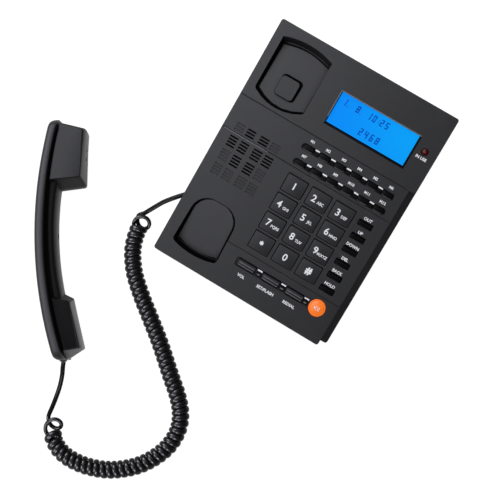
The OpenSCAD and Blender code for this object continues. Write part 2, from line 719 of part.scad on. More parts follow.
// What is taken off both sides of the handle, so that it is narrower than the caps
module handle_sides(grow) {
    long = handle_to - handle_from + 2 * grow;
    for (z = [-1, handset_w - handle_in - grow])
        translate([handle_from - grow, -40, z]) cube([long, 60, handle_in + grow + 1]);
}

// Inner shell of the handset with the ear cap and the mouth cap
module handset_front_shell() color(charcoal) on_handset() difference() {
    union() {
        difference() {
            intersection() {
                linear_extrude(height = handset_w) polygon(front_outline(0));
                back_round(back_r - back_depth - seam_gap);
                handset_block(0.4, handset_l);
                translate([-120, 0, handset_w / 2]) rotate([90, 0, 90]) linear_extrude(height = 240)
                    polygon([[12, 1 - handset_w / 2], [12, handset_w / 2 - 1], [-30, handset_w / 2 - 2.4],
                             [-30, 2.4 - handset_w / 2]]);
            }
            intersection() {
                back_round(back_r - back_depth - seam_gap - ledge_t);
                handle_sides(0);
            }
            difference() {
                intersection() {
                    translate([0, 0, 3.6]) linear_extrude(height = handset_w - 7.2)
                        polygon(front_outline(skin));
                    handset_block(skin + 0.4, handset_l);
                }
                handle_sides(skin);
            }
        }
        intersection() {
            translate([screw_u, 1.5, handset_w / 2]) rotate([-90, 0, 0]) cylinder(d = 8, h = 8);
            back_round(back_r - back_depth - seam_gap);
        }
    }
    translate([screw_u, -5, handset_w / 2]) rotate([-90, 0, 0]) cylinder(d = 5, h = 7.2);
    translate([screw_u, -5, handset_w / 2]) rotate([-90, 0, 0]) cylinder(d = 2.9, h = 20);
    translate([ear_cap_u, ear_cap_v, handset_w / 2]) rotate([0, 0, ear_cap_turn]) rotate([-90, 0, 0])
        for (a = [0:60:360]) rotate([0, 0, a]) translate([a < 360 ? 7 : 0, 0, -3]) cylinder(d = 2.2, h = 7);
    translate([mouth_cap_u, mouth_cap_v, handset_w / 2]) rotate([0, 0, mouth_cap_turn]) rotate([-90, 0, 0])
        for (x = [-4, 0, 4]) translate([x, 0, -3]) cylinder(d = 2, h = 7);
    plug_way();
}

// Receiver behind the ear cap
module receiver_capsule() color(black) on_handset()
    translate([ear_cap_u, ear_cap_v, handset_w / 2]) rotate([0, 0, ear_cap_turn]) rotate([-90, 0, 0]) {
        translate([0, 0, skin + 0.15]) cylinder(d = 30, h = 6);
        translate([0, 0, skin + 6]) cylinder(d = 16, h = 3);
    }

// Microphone behind the mouth cap
module microphone_capsule() color(steel) on_handset()
    translate([mouth_cap_u, mouth_cap_v, handset_w / 2]) rotate([0, 0, mouth_cap_turn]) rotate([-90, 0, 0])
        translate([0, 0, skin + 0.15]) cylinder(d = 9.7, h = 6);

// Steel weight in the handle, lying on the inner shell
weight_u = 0.52 * handle_half;
weight_v = handle_v - handle_round * handle_rise / 2 - weight_u * weight_u / (2 * handle_r) + skin + 0.15;
module handset_weight() color(steel) on_handset()
    translate([handle_u + weight_u, weight_v, handset_w / 2]) rotate([0, 0, -atan(weight_u / handle_r)])
        translate([-13, 0, -9]) cube([26, 4.4, 18]);

// Screw through the handle into the back shell
module handset_screw() color(steel) on_handset() translate([screw_u, 2.3, handset_w / 2]) rotate([-90, 0, 0])
    translate([0, 0, -1.7]) difference() {
        union() {
            cylinder(d = 4.6, h = 1.6);
            cylinder(d = 2.6, h = 8.6);
        }
        for (a = [0, 90]) rotate([0, 0, a]) translate([-1.5, -0.35, -1]) cube([3, 0.7, 1.8]);
    }

// Socket in the mouth end of the handset
module handset_socket() color(black) on_handset() difference() {
    translate([socket_u, socket_v - 4.4, handset_w / 2 - 6]) cube([10.4, 8, 12]);
    translate([socket_u - 1, socket_v - plug_t / 2 - 0.2, handset_w / 2 - plug_w / 2 - 0.2])
        cube([cord_end_u + plug_l + 1.7 - socket_u, plug_t + 0.4, plug_w + 0.4]);
}

// Plug at the handset end of the cord
module handset_cord_plug() color([0.15, 0.15, 0.16]) on_handset()
    translate([cord_end_u, socket_v - plug_t / 2, handset_w / 2 - plug_w / 2]) cube([plug_l, plug_t, plug_w]);

// Moves a piece from the base's middle to its place in the set
module in_place() {
    translate(set_at) children();
}

in_place() base_top_cover();
in_place() base_bottom_cover();
in_place() rubber_feet();
in_place() case_screws();
in_place() display_window();
in_place() lcd_module();
in_place() in_use_led();
in_place() loudspeaker();
in_place() main_board();
in_place() board_screws();
in_place() key_mat();
in_place() hook_board();
in_place() hook_spring();
in_place() hook_plunger();
in_place() handset_jack();
in_place() line_jack();
in_place() base_cord_plug();
in_place() handset_cord();
in_place() handset_back_shell();
in_place() handset_front_shell();
in_place() receiver_capsule();
in_place() microphone_capsule();
in_place() handset_weight();
in_place() handset_screw();
in_place() handset_socket();
in_place() handset_cord_plug();
in_place() speaker_button();
for (i = [0:11]) in_place() dial_key(i);
for (i = [0:11]) in_place() memory_key(i);
for (i = [0:5]) in_place() side_key(i);
for (i = [0:2]) in_place() long_key(i);
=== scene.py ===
from bisect import bisect_right
from math import ceil, cos, exp, pi, radians, sin, sqrt, tan

import bmesh
import bpy
from mathutils import Matrix, Vector


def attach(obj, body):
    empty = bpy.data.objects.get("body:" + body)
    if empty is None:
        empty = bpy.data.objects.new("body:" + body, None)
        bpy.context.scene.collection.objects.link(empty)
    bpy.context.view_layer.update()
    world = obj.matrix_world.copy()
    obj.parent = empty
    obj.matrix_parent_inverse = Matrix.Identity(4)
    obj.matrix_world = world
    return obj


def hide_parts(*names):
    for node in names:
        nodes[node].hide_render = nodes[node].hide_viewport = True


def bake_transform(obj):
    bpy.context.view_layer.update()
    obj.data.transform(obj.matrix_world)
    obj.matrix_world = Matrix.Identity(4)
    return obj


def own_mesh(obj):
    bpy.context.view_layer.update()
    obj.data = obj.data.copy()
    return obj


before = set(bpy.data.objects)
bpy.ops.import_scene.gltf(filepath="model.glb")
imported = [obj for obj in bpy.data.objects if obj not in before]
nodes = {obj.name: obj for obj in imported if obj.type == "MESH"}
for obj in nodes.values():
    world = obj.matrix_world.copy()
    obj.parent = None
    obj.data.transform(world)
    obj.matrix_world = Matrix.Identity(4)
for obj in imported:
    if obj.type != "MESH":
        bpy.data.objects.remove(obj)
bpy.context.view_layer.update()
scene = bpy.context.scene
mm = 0.001
print("frame loaded with", len(nodes), "nodes")

# places in millimetres: the sloping face of the base and the handset on its side
setAt = Vector((62.8, 59.3, 0.0))
faceSize = dict(width=162.0, length=213.0, slope=radians(11.5), frontHeight=26.0)
faceGround = faceSize["length"] * cos(faceSize["slope"])
handsetAt = dict(place=(-153.3, -142.0, 0.0), turn=radians(123.5))
baseSpace = Matrix.Scale(mm, 4) @ Matrix.Translation(setAt)
faceSpace = (
    baseSpace
    @ Matrix.Translation((-faceSize["width"] / 2, -faceGround / 2, faceSize["frontHeight"]))
    @ Matrix.Rotation(faceSize["slope"], 4, "X")
)
handsetInBase = Matrix.Translation(handsetAt["place"]) @ Matrix.Rotation(handsetAt["turn"], 4, "Z")
handsetSpace = baseSpace @ handsetInBase


# t runs from the rear edge of the face to the front, n out of the face
def onFace(x, t, n=0.0):
    return Vector((x, faceSize["length"] - t, n))


def faceAt(place):
    return faceSpace @ Matrix.Translation(onFace(place["x"], place["t"]))


def circle(count):
    return [2 * pi * k / count for k in range(count)]


def steps(start, end, count):
    return [start + (end - start) * k / count for k in range(count + 1)]


# fall of a quarter round: 1 at its start, 0 once share reaches 1
def roundOff(share):
    return 1 - sqrt(1 - (1 - share)**2)


def addObject(name, data):
    item = bpy.data.objects.new(name, data)
    scene.collection.objects.link(item)
    return item


def meshOf(item):
    graph = bpy.context.evaluated_depsgraph_get()
    return bpy.data.meshes.new_from_object(item.evaluated_get(graph), depsgraph=graph)


# camera at the photograph's place
cameraFit = dict(
    place=(0.13763, -0.05553, 1.05), turn=Vector((0.0691348, 0.0691212, 0.5388181)),
    lens=90.446, sensor=36.0, clip=0.01,
)
cameraData = bpy.data.cameras.new("camera")
cameraData.sensor_width = cameraFit["sensor"]
cameraData.lens = cameraFit["lens"]
cameraData.clip_start = cameraFit["clip"]
camera = addObject("camera", cameraData)
camera.matrix_world = Matrix.Translation(cameraFit["place"]) @ Matrix.Rotation(
    cameraFit["turn"].length, 4, cameraFit["turn"].normalized()
)
scene.camera = camera


# shader sums as plain Python
class Wire:
    def __init__(self, finish, socket):
        self.finish = finish
        self.socket = socket

    def sum(self, operation, *values):
        return self.finish.add("ShaderNodeMath", dict(operation=operation), dict(enumerate(values)))

    def __add__(self, other):
        return self.sum("ADD", self, other)

    def __radd__(self, other):
        return self.sum("ADD", other, self)

    def __sub__(self, other):
        return self.sum("SUBTRACT", self, other)

    def __rsub__(self, other):
        return self.sum("SUBTRACT", other, self)

    def __mul__(self, other):
        return self.sum("MULTIPLY", self, other)

    def __rmul__(self, other):
        return self.sum("MULTIPLY", other, self)


class Finish:
    def __init__(self, name, **fixed):
        self.material = bpy.data.materials.new(name)
        self.material.use_nodes = True
        self.tree = self.material.node_tree
        self.tree.nodes.clear()
        self.surface = self.tree.nodes.new("ShaderNodeBsdfPrincipled")
        output = self.tree.nodes.new("ShaderNodeOutputMaterial")
        self.tree.links.new(self.surface.outputs[0], output.inputs["Surface"])
        for key, value in fixed.items():
            self.feed(key.replace("_", " "), value)

    def add(self, kind, settings=None, sockets=None, out=0):
        node = self.tree.nodes.new(kind)
        for key, value in (settings or {}).items():
            setattr(node, key, value)
        for key, value in (sockets or {}).items():
            self.put(node.inputs[key], value)
        return Wire(self, node.outputs[out])

    def put(self, socket, value):
        if isinstance(value, Wire):
            self.tree.links.new(value.socket, socket)
        else:
            socket.default_value = value

    def feed(self, name, value):
        self.put(self.surface.inputs[name], value)

    def place(self):
        return self.add("ShaderNodeTexCoord", out="Object")

    def noise(self, scale, detail=3.0, rough=0.55):
        sockets = {"Vector": self.place(), "Scale": scale, "Detail": detail, "Roughness": rough}
        return self.add("ShaderNodeTexNoise", dict(noise_dimensions="3D"), sockets)

    def band(self, value, low, high):
        sockets = {"Value": value, "From Min": low, "From Max": high}
        return self.add("ShaderNodeMapRange", dict(interpolation_type="SMOOTHSTEP"), sockets)

    def blend(self, factor, first, second):
        settings = dict(data_type="RGBA", blend_type="MIX")
        return self.add("ShaderNodeMix", settings, {0: factor, 6: first, 7: second}, out=2)

    def bump(self, height, strength, distance, normal=None):
        sockets = {"Height": height, "Strength": strength, "Distance": distance}
        if normal is not None:
            sockets["Normal"] = normal
        return self.add("ShaderNodeBump", None, sockets)

    def measure(self, operation, first, second):
        settings = dict(operation=operation)
        return self.add("ShaderNodeVectorMath", settings, {0: first, 1: second}, out="Value")

    # rounded edges for shading, and a mask of where they are
    def edges(self, radius):
        soft = self.add("ShaderNodeBevel", dict(samples=6), {"Radius": radius}, out="Normal")
        flat = self.add("ShaderNodeNewGeometry", out="Normal")
        return soft, self.band(self.measure("DOT_PRODUCT", soft, flat), 0.995, 0.90)

    # 1 in the open, towards 0 in slots and corners
    def openness(self, reach):
        return self.add("ShaderNodeAmbientOcclusion", dict(samples=8), {"Distance": reach}, out="AO")

    # distance from a point given in metres
    def away(self, point):
        return self.measure("DISTANCE", self.place(), tuple(point))


def grey(value, blue=1.08):
    return (value, value, value * blue, 1.0)


# moulded plastic: fine spark grain, slow patches, lighter rubbed edges that are partly wear and partly a
# painted highlight, and painted shade that darkens slots and corners
def mouldedPlastic(name, tones, grain, rough, shine, edgeRadius=0.0005, reach=0.009):
    dark, light, wornAndLit = tones
    finish = Finish(name, IOR=1.47, Specular_IOR_Level=shine)
    soft, edge = finish.edges(edgeRadius)
    patches = finish.noise(38.0, 4.0)
    specks = finish.noise(2600.0, 2.0)
    # ambient occlusion mask: it sets where the painted shade falls
    unshaded = finish.band(finish.openness(reach), 0.30, 0.90)
    tone = finish.blend(patches * 0.6 + specks * 0.4, grey(dark), grey(light))
    # the edges are lightened: partly wear, partly a painted highlight
    rubbedAndLit = finish.blend(edge * 0.5, tone, grey(wornAndLit))
    # in slots and corners the colour falls towards near black: painted shade
    finish.feed("Base Color", finish.blend(unshaded, grey(dark * 0.12), rubbedAndLit))
    finish.feed("Roughness", rough + (patches - 0.5) * 0.10 - edge * 0.08 + (1.0 - unshaded) * 0.3)
    finish.feed("Normal", finish.bump(specks, grain, 0.00006, soft))
    return finish.material


fine = dict(edgeRadius=0.0002, reach=0.002)
casePlastic = mouldedPlastic("casePlastic", (0.013, 0.020, 0.03), grain=0.40, rough=0.35, shine=0.36)
handsetPlastic = mouldedPlastic("handsetPlastic", (0.012, 0.017, 0.03), grain=0.35, rough=0.42, shine=0.29)
shellPlastic = mouldedPlastic("shellPlastic", (0.025, 0.034, 0.05), grain=0.42, rough=0.44, shine=0.50)
# a darker copy of the handset plastic for the handle and the ear cap's walls towards it: painted shade
handleShadePlastic = mouldedPlastic("handleShadePlastic", (0.008, 0.012, 0.02), grain=0.35, rough=0.46, shine=0.13)
# a near-black copy for the handle's sides: painted shade
handleDeepShade = mouldedPlastic("handleDeepShade", (0.005, 0.007, 0.009), grain=0.35, rough=0.5, shine=0.06)
keyPlastic = mouldedPlastic("keyPlastic", (0.013, 0.019, 0.03), grain=0.25, rough=0.42, shine=0.36, **fine)
glossKey = mouldedPlastic("glossKey", (0.002, 0.004, 0.010), grain=0.10, rough=0.28, shine=0.08, **fine)
trayPlastic = mouldedPlastic("trayPlastic", (0.004, 0.008, 0.015), grain=0.60, rough=0.62, shine=0.15)
# a near-black copy for the mouth cap's panel and the core by the seam: painted shade
mouthShadePlastic = mouldedPlastic(
    "mouthShadePlastic", (0.003, 0.005, 0.01), grain=0.30, rough=0.50, shine=0.07, edgeRadius=0.0003,
)
# near black, for the sheets of painted shade in the cradles and round the hook button
shadeSheetPlastic = mouldedPlastic("shadeSheetPlastic", (0.001, 0.002, 0.004), grain=0.40, rough=0.50, shine=0.02)
# a lighter, glossier copy for the mouth cradle's floor: painted light
litPadPlastic = mouldedPlastic("litPadPlastic", (0.024, 0.036, 0.05), grain=0.40, rough=0.36, shine=0.60)
# pale plastic for painted highlights: key fronts, ribs, glints, the display rim and the face bead
highlightPlastic = mouldedPlastic(
    "highlightPlastic", (0.16, 0.20, 0.24), grain=0.20, rough=0.45, shine=0.30, edgeRadius=0.0002, reach=0.001,
)


def cordVinyl(name, sheen):
    finish = Finish(name, IOR=1.5, Specular_IOR_Level=sheen, Coat_Roughness=0.08)
    scuffs = finish.noise(420.0, 4.0, 0.6)
    lint = finish.band(finish.noise(1500.0, 2.0), 0.66, 0.74)
    unshaded = finish.band(finish.openness(0.003), 0.1, 0.8)
    # lint shows only in the open, so the gaps between the curls keep the darkest colour: painted shade
    finish.feed("Base Color", finish.blend(lint * unshaded * 0.5, grey(0.0012), grey(0.008)))
    finish.feed("Roughness", 0.25 + scuffs * 0.10 + (1.0 - unshaded) * 0.3)
    finish.feed("Coat Weight", scuffs * unshaded * 0.02)
    finish.feed("Normal", finish.bump(scuffs, 0.10, 0.0001))
    return finish.material


# colour, glow and dents that follow one noise; follows gives (least, more) for each other input that does
def cloudyFinish(name, noise, colours, follows, dents=None, glow=None, **fixed):
    finish = Finish(name, **fixed)
    cloud = finish.noise(*noise)
    finish.feed("Base Color", finish.blend(cloud, *colours))
    for key, (least, more) in follows.items():
        finish.feed(key, least + cloud * more)
    if glow:
        finish.feed("Emission Color", finish.blend(cloud, *glow))
    if dents:
        finish.feed("Normal", finish.bump(cloud, *dents))
    return finish


def platedMetal(name, *colours):
    follows = {"Roughness": (0.26, 0.2), "Metallic": (0.95, -0.1)}
    return cloudyFinish(name, (1100.0, 3.0), colours, follows, dents=(0.15, 0.00005)).material


steelFinish = platedMetal("platedSteel", (0.42, 0.42, 0.43, 1), (0.62, 0.62, 0.60, 1))
goldFinish = platedMetal("platedGold", (0.70, 0.48, 0.16, 1), (0.85, 0.62, 0.25, 1))
curlFinish = cordVinyl("curlVinyl", 0.09)
leadFinish = cordVinyl("leadVinyl", 0.015)
# white for the print, and for the white glint dashes by the small keys, which are painted highlights
printAndGlintFinish = cloudyFinish(
    "printAndGlintWhite", (3000.0, 3.0), (grey(0.80, 1.0), grey(0.95, 1.0)), {"Roughness": (0.45, 0.15)},
    dents=(0.1, 0.00002), IOR=1.45,
).material
rubberFinish = cloudyFinish(
    "softRubber", (700.0, 4.0), (grey(0.008, 1.0), grey(0.022, 1.0)), {"Roughness": (0.75, 0.2)},
    dents=(0.5, 0.0001), IOR=1.45,
).material
plugFinish = cloudyFinish(
    "smokedPlug", (320.0, 3.0), (grey(0.01), grey(0.03)), {"Roughness": (0.12, 0.12)},
    dents=(0.1, 0.0001), IOR=1.5, Coat_Weight=0.4, Coat_Roughness=0.06,
).material
paneFinish = cloudyFinish(
    "clearPane", (220.0, 3.0), ((0.02, 0.05, 0.10, 1), (0.05, 0.09, 0.16, 1)),
    {"Roughness": (0.06, 0.05), "Alpha": (0.03, 0.03)}, IOR=1.35, Specular_IOR_Level=0.08,
).material
segmentFinish = cloudyFinish(
    "segmentBlue", (60.0, 2.0), ((0.0, 0.01, 0.05, 1), (0.0, 0.02, 0.08, 1)), {"Roughness": (0.4, 0.1)},
    glow=((0.0, 0.05, 0.45, 1), (0.0, 0.07, 0.55, 1)),
    IOR=1.4, Specular_IOR_Level=0.05, Emission_Strength=0.8,
).material
# orange plastic that also glows a little of itself: painted light
glowingButtonLook = cloudyFinish(
    "orangeGlowPlastic", (180.0, 3.0), ((0.90, 0.17, 0.015, 1), (0.98, 0.23, 0.025, 1)),
    {"Roughness": (0.22, 0.10), "Coat Weight": (0.05, 0.1)},
    glow=((0.9, 0.16, 0.01, 1), (1.0, 0.24, 0.02, 1)),
    IOR=1.5, Specular_IOR_Level=0.3, Coat_Roughness=0.06, Emission_Strength=0.25,
)
glowingButtonLook.feed("Normal", glowingButtonLook.bump(glowingButtonLook.noise(1500.0), 0.06, 0.00005))
# the display's light, stronger towards its right end
displayNoise = 14.0, 1.0
displayLook = cloudyFinish(
    "litBlue", displayNoise, ((0.0, 0.02, 0.08, 1), (0.0, 0.03, 0.1, 1)), {"Roughness": (0.45, 0.1)},
    IOR=1.4, Specular_IOR_Level=0.05, Emission_Strength=0.95,
)
right = displayLook.band(displayLook.away(faceSpace @ onFace(140.0, 30.0, -4.0)), 0.075, 0.0)
share = right * 0.8 + displayLook.noise(*displayNoise) * 0.2
displayLook.feed("Emission Color", displayLook.blend(share, (0.0, 0.26, 1.0, 1), (0.0, 0.39, 1.0, 1)))
# a dark red lens with a small lit core
lampAt = dict(x=151.5, t=35.3, radius=2.9, top=0.8, foot=-6.0, waist=-0.4)
lensLook = cloudyFinish(
    "redLens", (900.0, 2.0), ((0.03, 0.002, 0.002, 1), (0.05, 0.003, 0.003, 1)), {"Roughness": (0.12, 0.1)},
    dents=(0.2, 0.0002), IOR=1.5, Specular_IOR_Level=0.2, Emission_Strength=0.13,
)
core = lensLook.band(lensLook.away(faceSpace @ onFace(lampAt["x"], lampAt["t"], 0.6)), 0.0015, 0.0004)
lensLook.feed("Emission Color", lensLook.blend(core, (0.01, 0.0, 0.0, 1), (1.0, 0.16, 0.08, 1)))
boardLook = Finish("boardLacquer", IOR=1.5)
trackForm = dict(distance="MANHATTAN", feature="DISTANCE_TO_EDGE")
tracks = boardLook.add("ShaderNodeTexVoronoi", trackForm, {"Vector": boardLook.place(), "Scale": 260.0})
copper = boardLook.band(tracks, 0.02, 0.07)
boardLook.feed("Base Color", boardLook.blend(copper, (0.03, 0.20, 0.08, 1), (0.012, 0.09, 0.04, 1)))
boardLook.feed("Roughness", 0.32 + copper * 0.12)
boardLook.feed("Normal", boardLook.bump(copper, 0.3, 0.00004))
print("finishes ready")

for material, names in (
    (casePlastic, ["base_top_cover", "hook_plunger"]),
    (trayPlastic, ["base_bottom_cover", "handset_jack", "line_jack", "handset_socket", "loudspeaker",
                   "receiver_capsule"]),
    (rubberFinish, ["rubber_feet", "key_mat"]),
    (steelFinish, ["case_screws", "board_screws", "hook_spring", "handset_screw", "handset_weight",
                   "microphone_capsule"]),
    (boardLook.material, ["main_board", "hook_board"]),
    (plugFinish, ["base_cord_plug", "handset_cord_plug"]),
):
    for name in names:
        for slotItem in nodes[name].material_slots:
            slotItem.material = material
        if not nodes[name].material_slots:
            nodes[name].data.materials.append(material)


def addMesh(name, mesh, body, replaced=()):
    piece = addObject(name, mesh)
    if body:
        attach(piece, body)
    if replaced:
        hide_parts(*replaced)
    return piece


# a finished shape gets its place, its finish and its body
def addPiece(name, shape, space, body, finishes, replaced=(), smooth=True):
    mesh = bpy.data.meshes.new(name)
    bmesh.ops.transform(shape, matrix=space, verts=shape.verts)
    shape.to_mesh(mesh)
    shape.free()
    for finish in finishes:
        mesh.materials.append(finish)
    if smooth:
        mesh.shade_smooth()
        mesh.set_sharp_from_angle(angle=radians(38))
    return addMesh(name, mesh, body, replaced)


def faceOutward(shape):
    bmesh.ops.recalc_face_normals(shape, faces=shape.faces)


# rings of points joined into a skin with closed ends
def skinRings(shape, rings, index=0):
    loops = [[shape.verts.new(p) for p in ring] for ring in rings]
    faces = []
    for low, high in zip(loops, loops[1:]):
        for i in range(len(low)):
            j = (i + 1) % len(low)
            faces.append((low[i], low[j], high[j], high[i]))
    for corners in faces + [loops[0][::-1], loops[-1]]:
        shape.faces.new(corners).material_index = index
    return loops


def skinned(rings):
    shape = bmesh.new()
    skinRings(shape, rings)
    faceOutward(shape)
    return shape


# a node tree run once on a mesh of points, in millimetres of the given space
def runTree(name, inputs, build, points, values, space):
    tree = bpy.data.node_groups.new(name, "GeometryNodeTree")
    for way in ("INPUT", "OUTPUT"):
        tree.interface.new_socket("Geometry", in_out=way, socket_type="NodeSocketGeometry")
    named = {}
    for label, kind in inputs.items():
        named[label] = tree.interface.new_socket(label, in_out="INPUT", socket_type=kind).identifier
    enter = tree.nodes.new("NodeGroupInput")
    leave = tree.nodes.new("NodeGroupOutput")

    def add(kind, sockets):
        node = tree.nodes.new(kind)
        for key, value in sockets.items():
            if isinstance(value, bpy.types.NodeSocket):
                tree.links.new(value, node.inputs[key])
            else:
                node.inputs[key].default_value = value
        return node.outputs[0]

    tree.links.new(build(add, enter.outputs), leave.inputs[0])
    mesh = bpy.data.meshes.new(name)
    mesh.from_pydata([tuple(p) for p in points], [], [])
    carrier = addObject(name + "Carrier", mesh)
    modifier = carrier.modifiers.new(name, "NODES")
    modifier.node_group = tree
    for label, value in values.items():
        modifier[named[label]] = value
    result = meshOf(carrier)
    carrier.modifiers.remove(modifier)
    bpy.data.objects.remove(carrier)
    result.transform(space)
    return result


copyInputs = {"Turn": "NodeSocketRotation", "Finish": "NodeSocketMaterial"}
blockInputs = {"Size": "NodeSocketVector", **copyInputs}
drillInputs = {"Radius": "NodeSocketFloat", "Depth": "NodeSocketFloat", **copyInputs}
drillSides = 28


def finishCopies(add, given, single):
    copies = add("GeometryNodeInstanceOnPoints", {
        "Points": given["Geometry"], "Instance": single, "Rotation": given["Turn"],
    })
    whole = add("GeometryNodeRealizeInstances", {"Geometry": copies})
    return add("GeometryNodeSetMaterial", {"Geometry": whole, "Material": given["Finish"]})


def blockTree(add, given):
    return finishCopies(add, given, add("GeometryNodeMeshCube", {"Size": given["Size"]}))


def drillTree(add, given):
    return finishCopies(add, given, add("GeometryNodeMeshCylinder", {
        "Vertices": drillSides, "Radius": given["Radius"], "Depth": given["Depth"],
    }))


# equal small blocks on the base
def addBlocks(name, points, size, finish, space=faceSpace, turn=(0.0, 0.0, 0.0)):
    values = {"Size": size, "Turn": turn, "Finish": finish}
    return addMesh(name, runTree(name, blockInputs, blockTree, points, values, space), "base")


# the curly cord: a plain lead, a leaning ring, oval curls that nearly touch, another ring and a plain lead
coil = dict(
    strand=3.4, lead=3.9, oval=5.25, gap=0.15, curl=15.0, first=-0.25, last=60.25, startPitch=6.0,
    ringTurns=1.65, ringPitch=9.0, ringLean=70.0, ringDrop=2.6, ringGrow=0.08, rings=24, sides=12,
    leadStep=1.5, stub=3.4, overDesk=0.3, leadFades=0.5, ovalFrom=0.6,
)
# where the end rings lean and sink: turns from that end where it sets in, and turns until it is full
ringLeans = dict(start=(1.4, 0.9), end=(2.3, 1.5))
ringDrops = dict(start=(0.55, 0.6), end=(0.8, 0.6))


def handsetPoint(u, v, z):
    return handsetInBase @ Vector((u, v, z))


baseExit = Vector((-75.5, -50.0, 17.0))
leadIn = [
    baseExit, baseExit - Vector((coil["stub"], 0, 0)), (-84.0, -54.8, 16.6), (-90.3, -61.6, 14.5),
    (-96.0, -68.4, 11.5), (-101.0, -76.4, 8.5), (-105.4, -83.6, 6.0),
]
curlRoute = [Vector(p) for p in (
    (-102.6, -88.0), (-102.6, -97.0), (-100.5, -107.5), (-95.5, -118.5), (-85.5, -131.5), (-70.5, -144.5),
    (-55.0, -156.0), (-37.0, -169.5), (-15.5, -187.5), (-1.0, -199.5), (9.0, -211.5), (13.8, -225.0),
    (12.8, -241.0), (5.2, -257.9), (-6.0, -271.1), (-21.2, -281.9), (-39.3, -288.4), (-56.2, -289.6),
    (-68.4, -285.7), (-76.0, -278.4), (-80.0, -268.0),
)]
leadOut = [
    (-87.4, -262.0, 4.6), (-88.7, -253.8, 5.0), (-90.4, -243.8, 8.0), (-92.6, -234.6, 13.0),
    (-94.8, -228.0, 18.0), handsetPoint(-99.4, -2.8, 22), handsetPoint(-96.2, -2.8, 22),
]
# the coil is drawn in a little about its right-hand bend
drawIn = dict(most=0.9, middle=9.7, spread=3.6)


def drawnIn(k):
    before, after = curlRoute[max(k - 1, 0)], curlRoute[min(k + 1, len(curlRoute) - 1)]
    along = (after - before).normalized()
    shift = drawIn["most"] * exp(-(((k - drawIn["middle"]) / drawIn["spread"]) ** 2))
    return curlRoute[k] + shift * Vector((along.y, -along.x))


# a smooth line through points, with places found by their distance along it
class Route:
    samples = 24

    def __init__(self, points):
        points = [Vector(p) for p in points]
        self.line = []
        for k in range(len(points) - 1):
            a, b, c = points[max(k - 1, 0)], points[k], points[k + 1]
            d = points[min(k + 2, len(points) - 1)]
            for i in range(self.samples):
                f = i / self.samples
                square, cube = 2 * a - 5 * b + 4 * c - d, 3 * b - a - 3 * c + d
                self.line.append(0.5 * (2 * b + (c - a) * f + square * f**2 + cube * f**3))
        self.line.append(points[-1])
        self.reach = [0.0]
        for p, q in zip(self.line, self.line[1:]):
            self.reach.append(self.reach[-1] + (q - p).length)

    def at(self, s):
        s = min(max(s, 0.0), self.reach[-1])
        k = min(max(bisect_right(self.reach, s) - 1, 0), len(self.line) - 2)
        return self.line[k].lerp(self.line[k + 1], (s - self.reach[k]) / (self.reach[k + 1] - self.reach[k]))


def ease(f):
    g = min(max(f, 0.0), 1.0)
    return g * g * (3 - 2 * g)


curlHeight = coil["curl"] / 2 + coil["overDesk"]
ringFrom = coil["last"] - coil["ringTurns"]
route = Route([(*drawnIn(k), curlHeight) for k in range(len(curlRoute))])
startRun = (1 - coil["first"]) * coil["startPitch"]
endRun = coil["ringTurns"] * coil["ringPitch"]
curlPitch = (route.reach[-1] - startRun - endRun) / (ringFrom - 1)


# how far the start ring and the end ring have come into play at a turn
def atRings(spans, c):
    (startTo, startOver), (endTo, endOver) = spans["start"], spans["end"]
    return ease((startTo - c) / startOver), ease((endTo - coil["last"] + c) / endOver)


# a point of the curls, counted in turns, and the coil's axis there
def curlPlace(c):
    s = (min(c, 1) - coil["first"]) * coil["startPitch"] + max(min(c, ringFrom) - 1, 0) * curlPitch
    s += max(c - ringFrom, 0) * coil["ringPitch"]
    along = (route.at(s + 0.5) - route.at(s - 0.5)).normalized()
    side = Vector((0, 0, 1)).cross(along).normalized()
    under, over = atRings(ringLeans, c)
    lean = radians(coil["ringLean"] * (over - under))
    up = cos(lean) * along.cross(side) + sin(lean) * along
    angle = radians(360 * c - 90)
    radius = (coil["curl"] - coil["strand"]) / 2 * (1 + coil["ringGrow"] * (over + under))
    middle = route.at(s) - Vector((0, 0, coil["ringDrop"] * sum(atRings(ringDrops, c))))
    return middle + radius * (cos(angle) * side + sin(angle) * up), side.cross(up)


rings, stub = coil["rings"], coil["stub"]
curlCount = round((coil["last"] - coil["first"]) * rings) + 1
curls = [curlPlace(coil["first"] + i / rings) for i in range(curlCount)]
inLine = Route(leadIn + [curls[0][0], curls[rings // 8][0]])
outLine = Route([curls[-1 - rings // 8][0], curls[-1][0]] + leadOut)
inTo = inLine.reach[len(leadIn) * Route.samples]
outFrom, outTo = outLine.reach[Route.samples], outLine.reach[-1]
inStops = steps(stub, inTo, ceil(inTo / coil["leadStep"]))[:-1]
outStops = steps(outFrom, outTo - stub, ceil((outTo - outFrom) / coil["leadStep"]))[1:]
strand = [baseExit] + [inLine.at(s) for s in inStops]
curlStart = len(strand)
curlEnd = curlStart + curlCount - 1
strand += [curl[0] for curl in curls] + [outLine.at(s) for s in outStops] + [outLine.line[-1]]
heading = [
    (strand[min(i + 1, len(strand) - 1)] - strand[max(i - 1, 0)]).normalized() for i in range(len(strand))
]


# across the strand: along the coil's axis in the curls, carried on without twist in the leads
def squareTo(vector, direction):
    return (vector - vector.dot(direction) * direction).normalized()


across = [None] * len(strand)
for i in range(curlStart, curlEnd + 1):
    across[i] = squareTo(curls[i - curlStart][1], heading[i])
for i in range(curlStart - 1, -1, -1):
    across[i] = squareTo(across[i + 1], heading[i])
for i in range(curlEnd + 1, len(strand)):
    across[i] = squareTo(across[i - 1], heading[i])


# width and depth of the strand's section
def section(i):
    turns = min(i - curlStart, curlEnd - i) / rings
    near = [(strand[i] - strand[k]).length for k in (i - rings, i + rings) if 0 <= k < len(strand)]
    full = max(min([coil["oval"]] + [d - coil["gap"] for d in near]), coil["strand"])
    thick = coil["strand"] + (coil["lead"] - coil["strand"]) * ease(coil["leadFades"] - turns)
    return thick + (full - thick) * ease(turns - coil["ovalFrom"]), thick


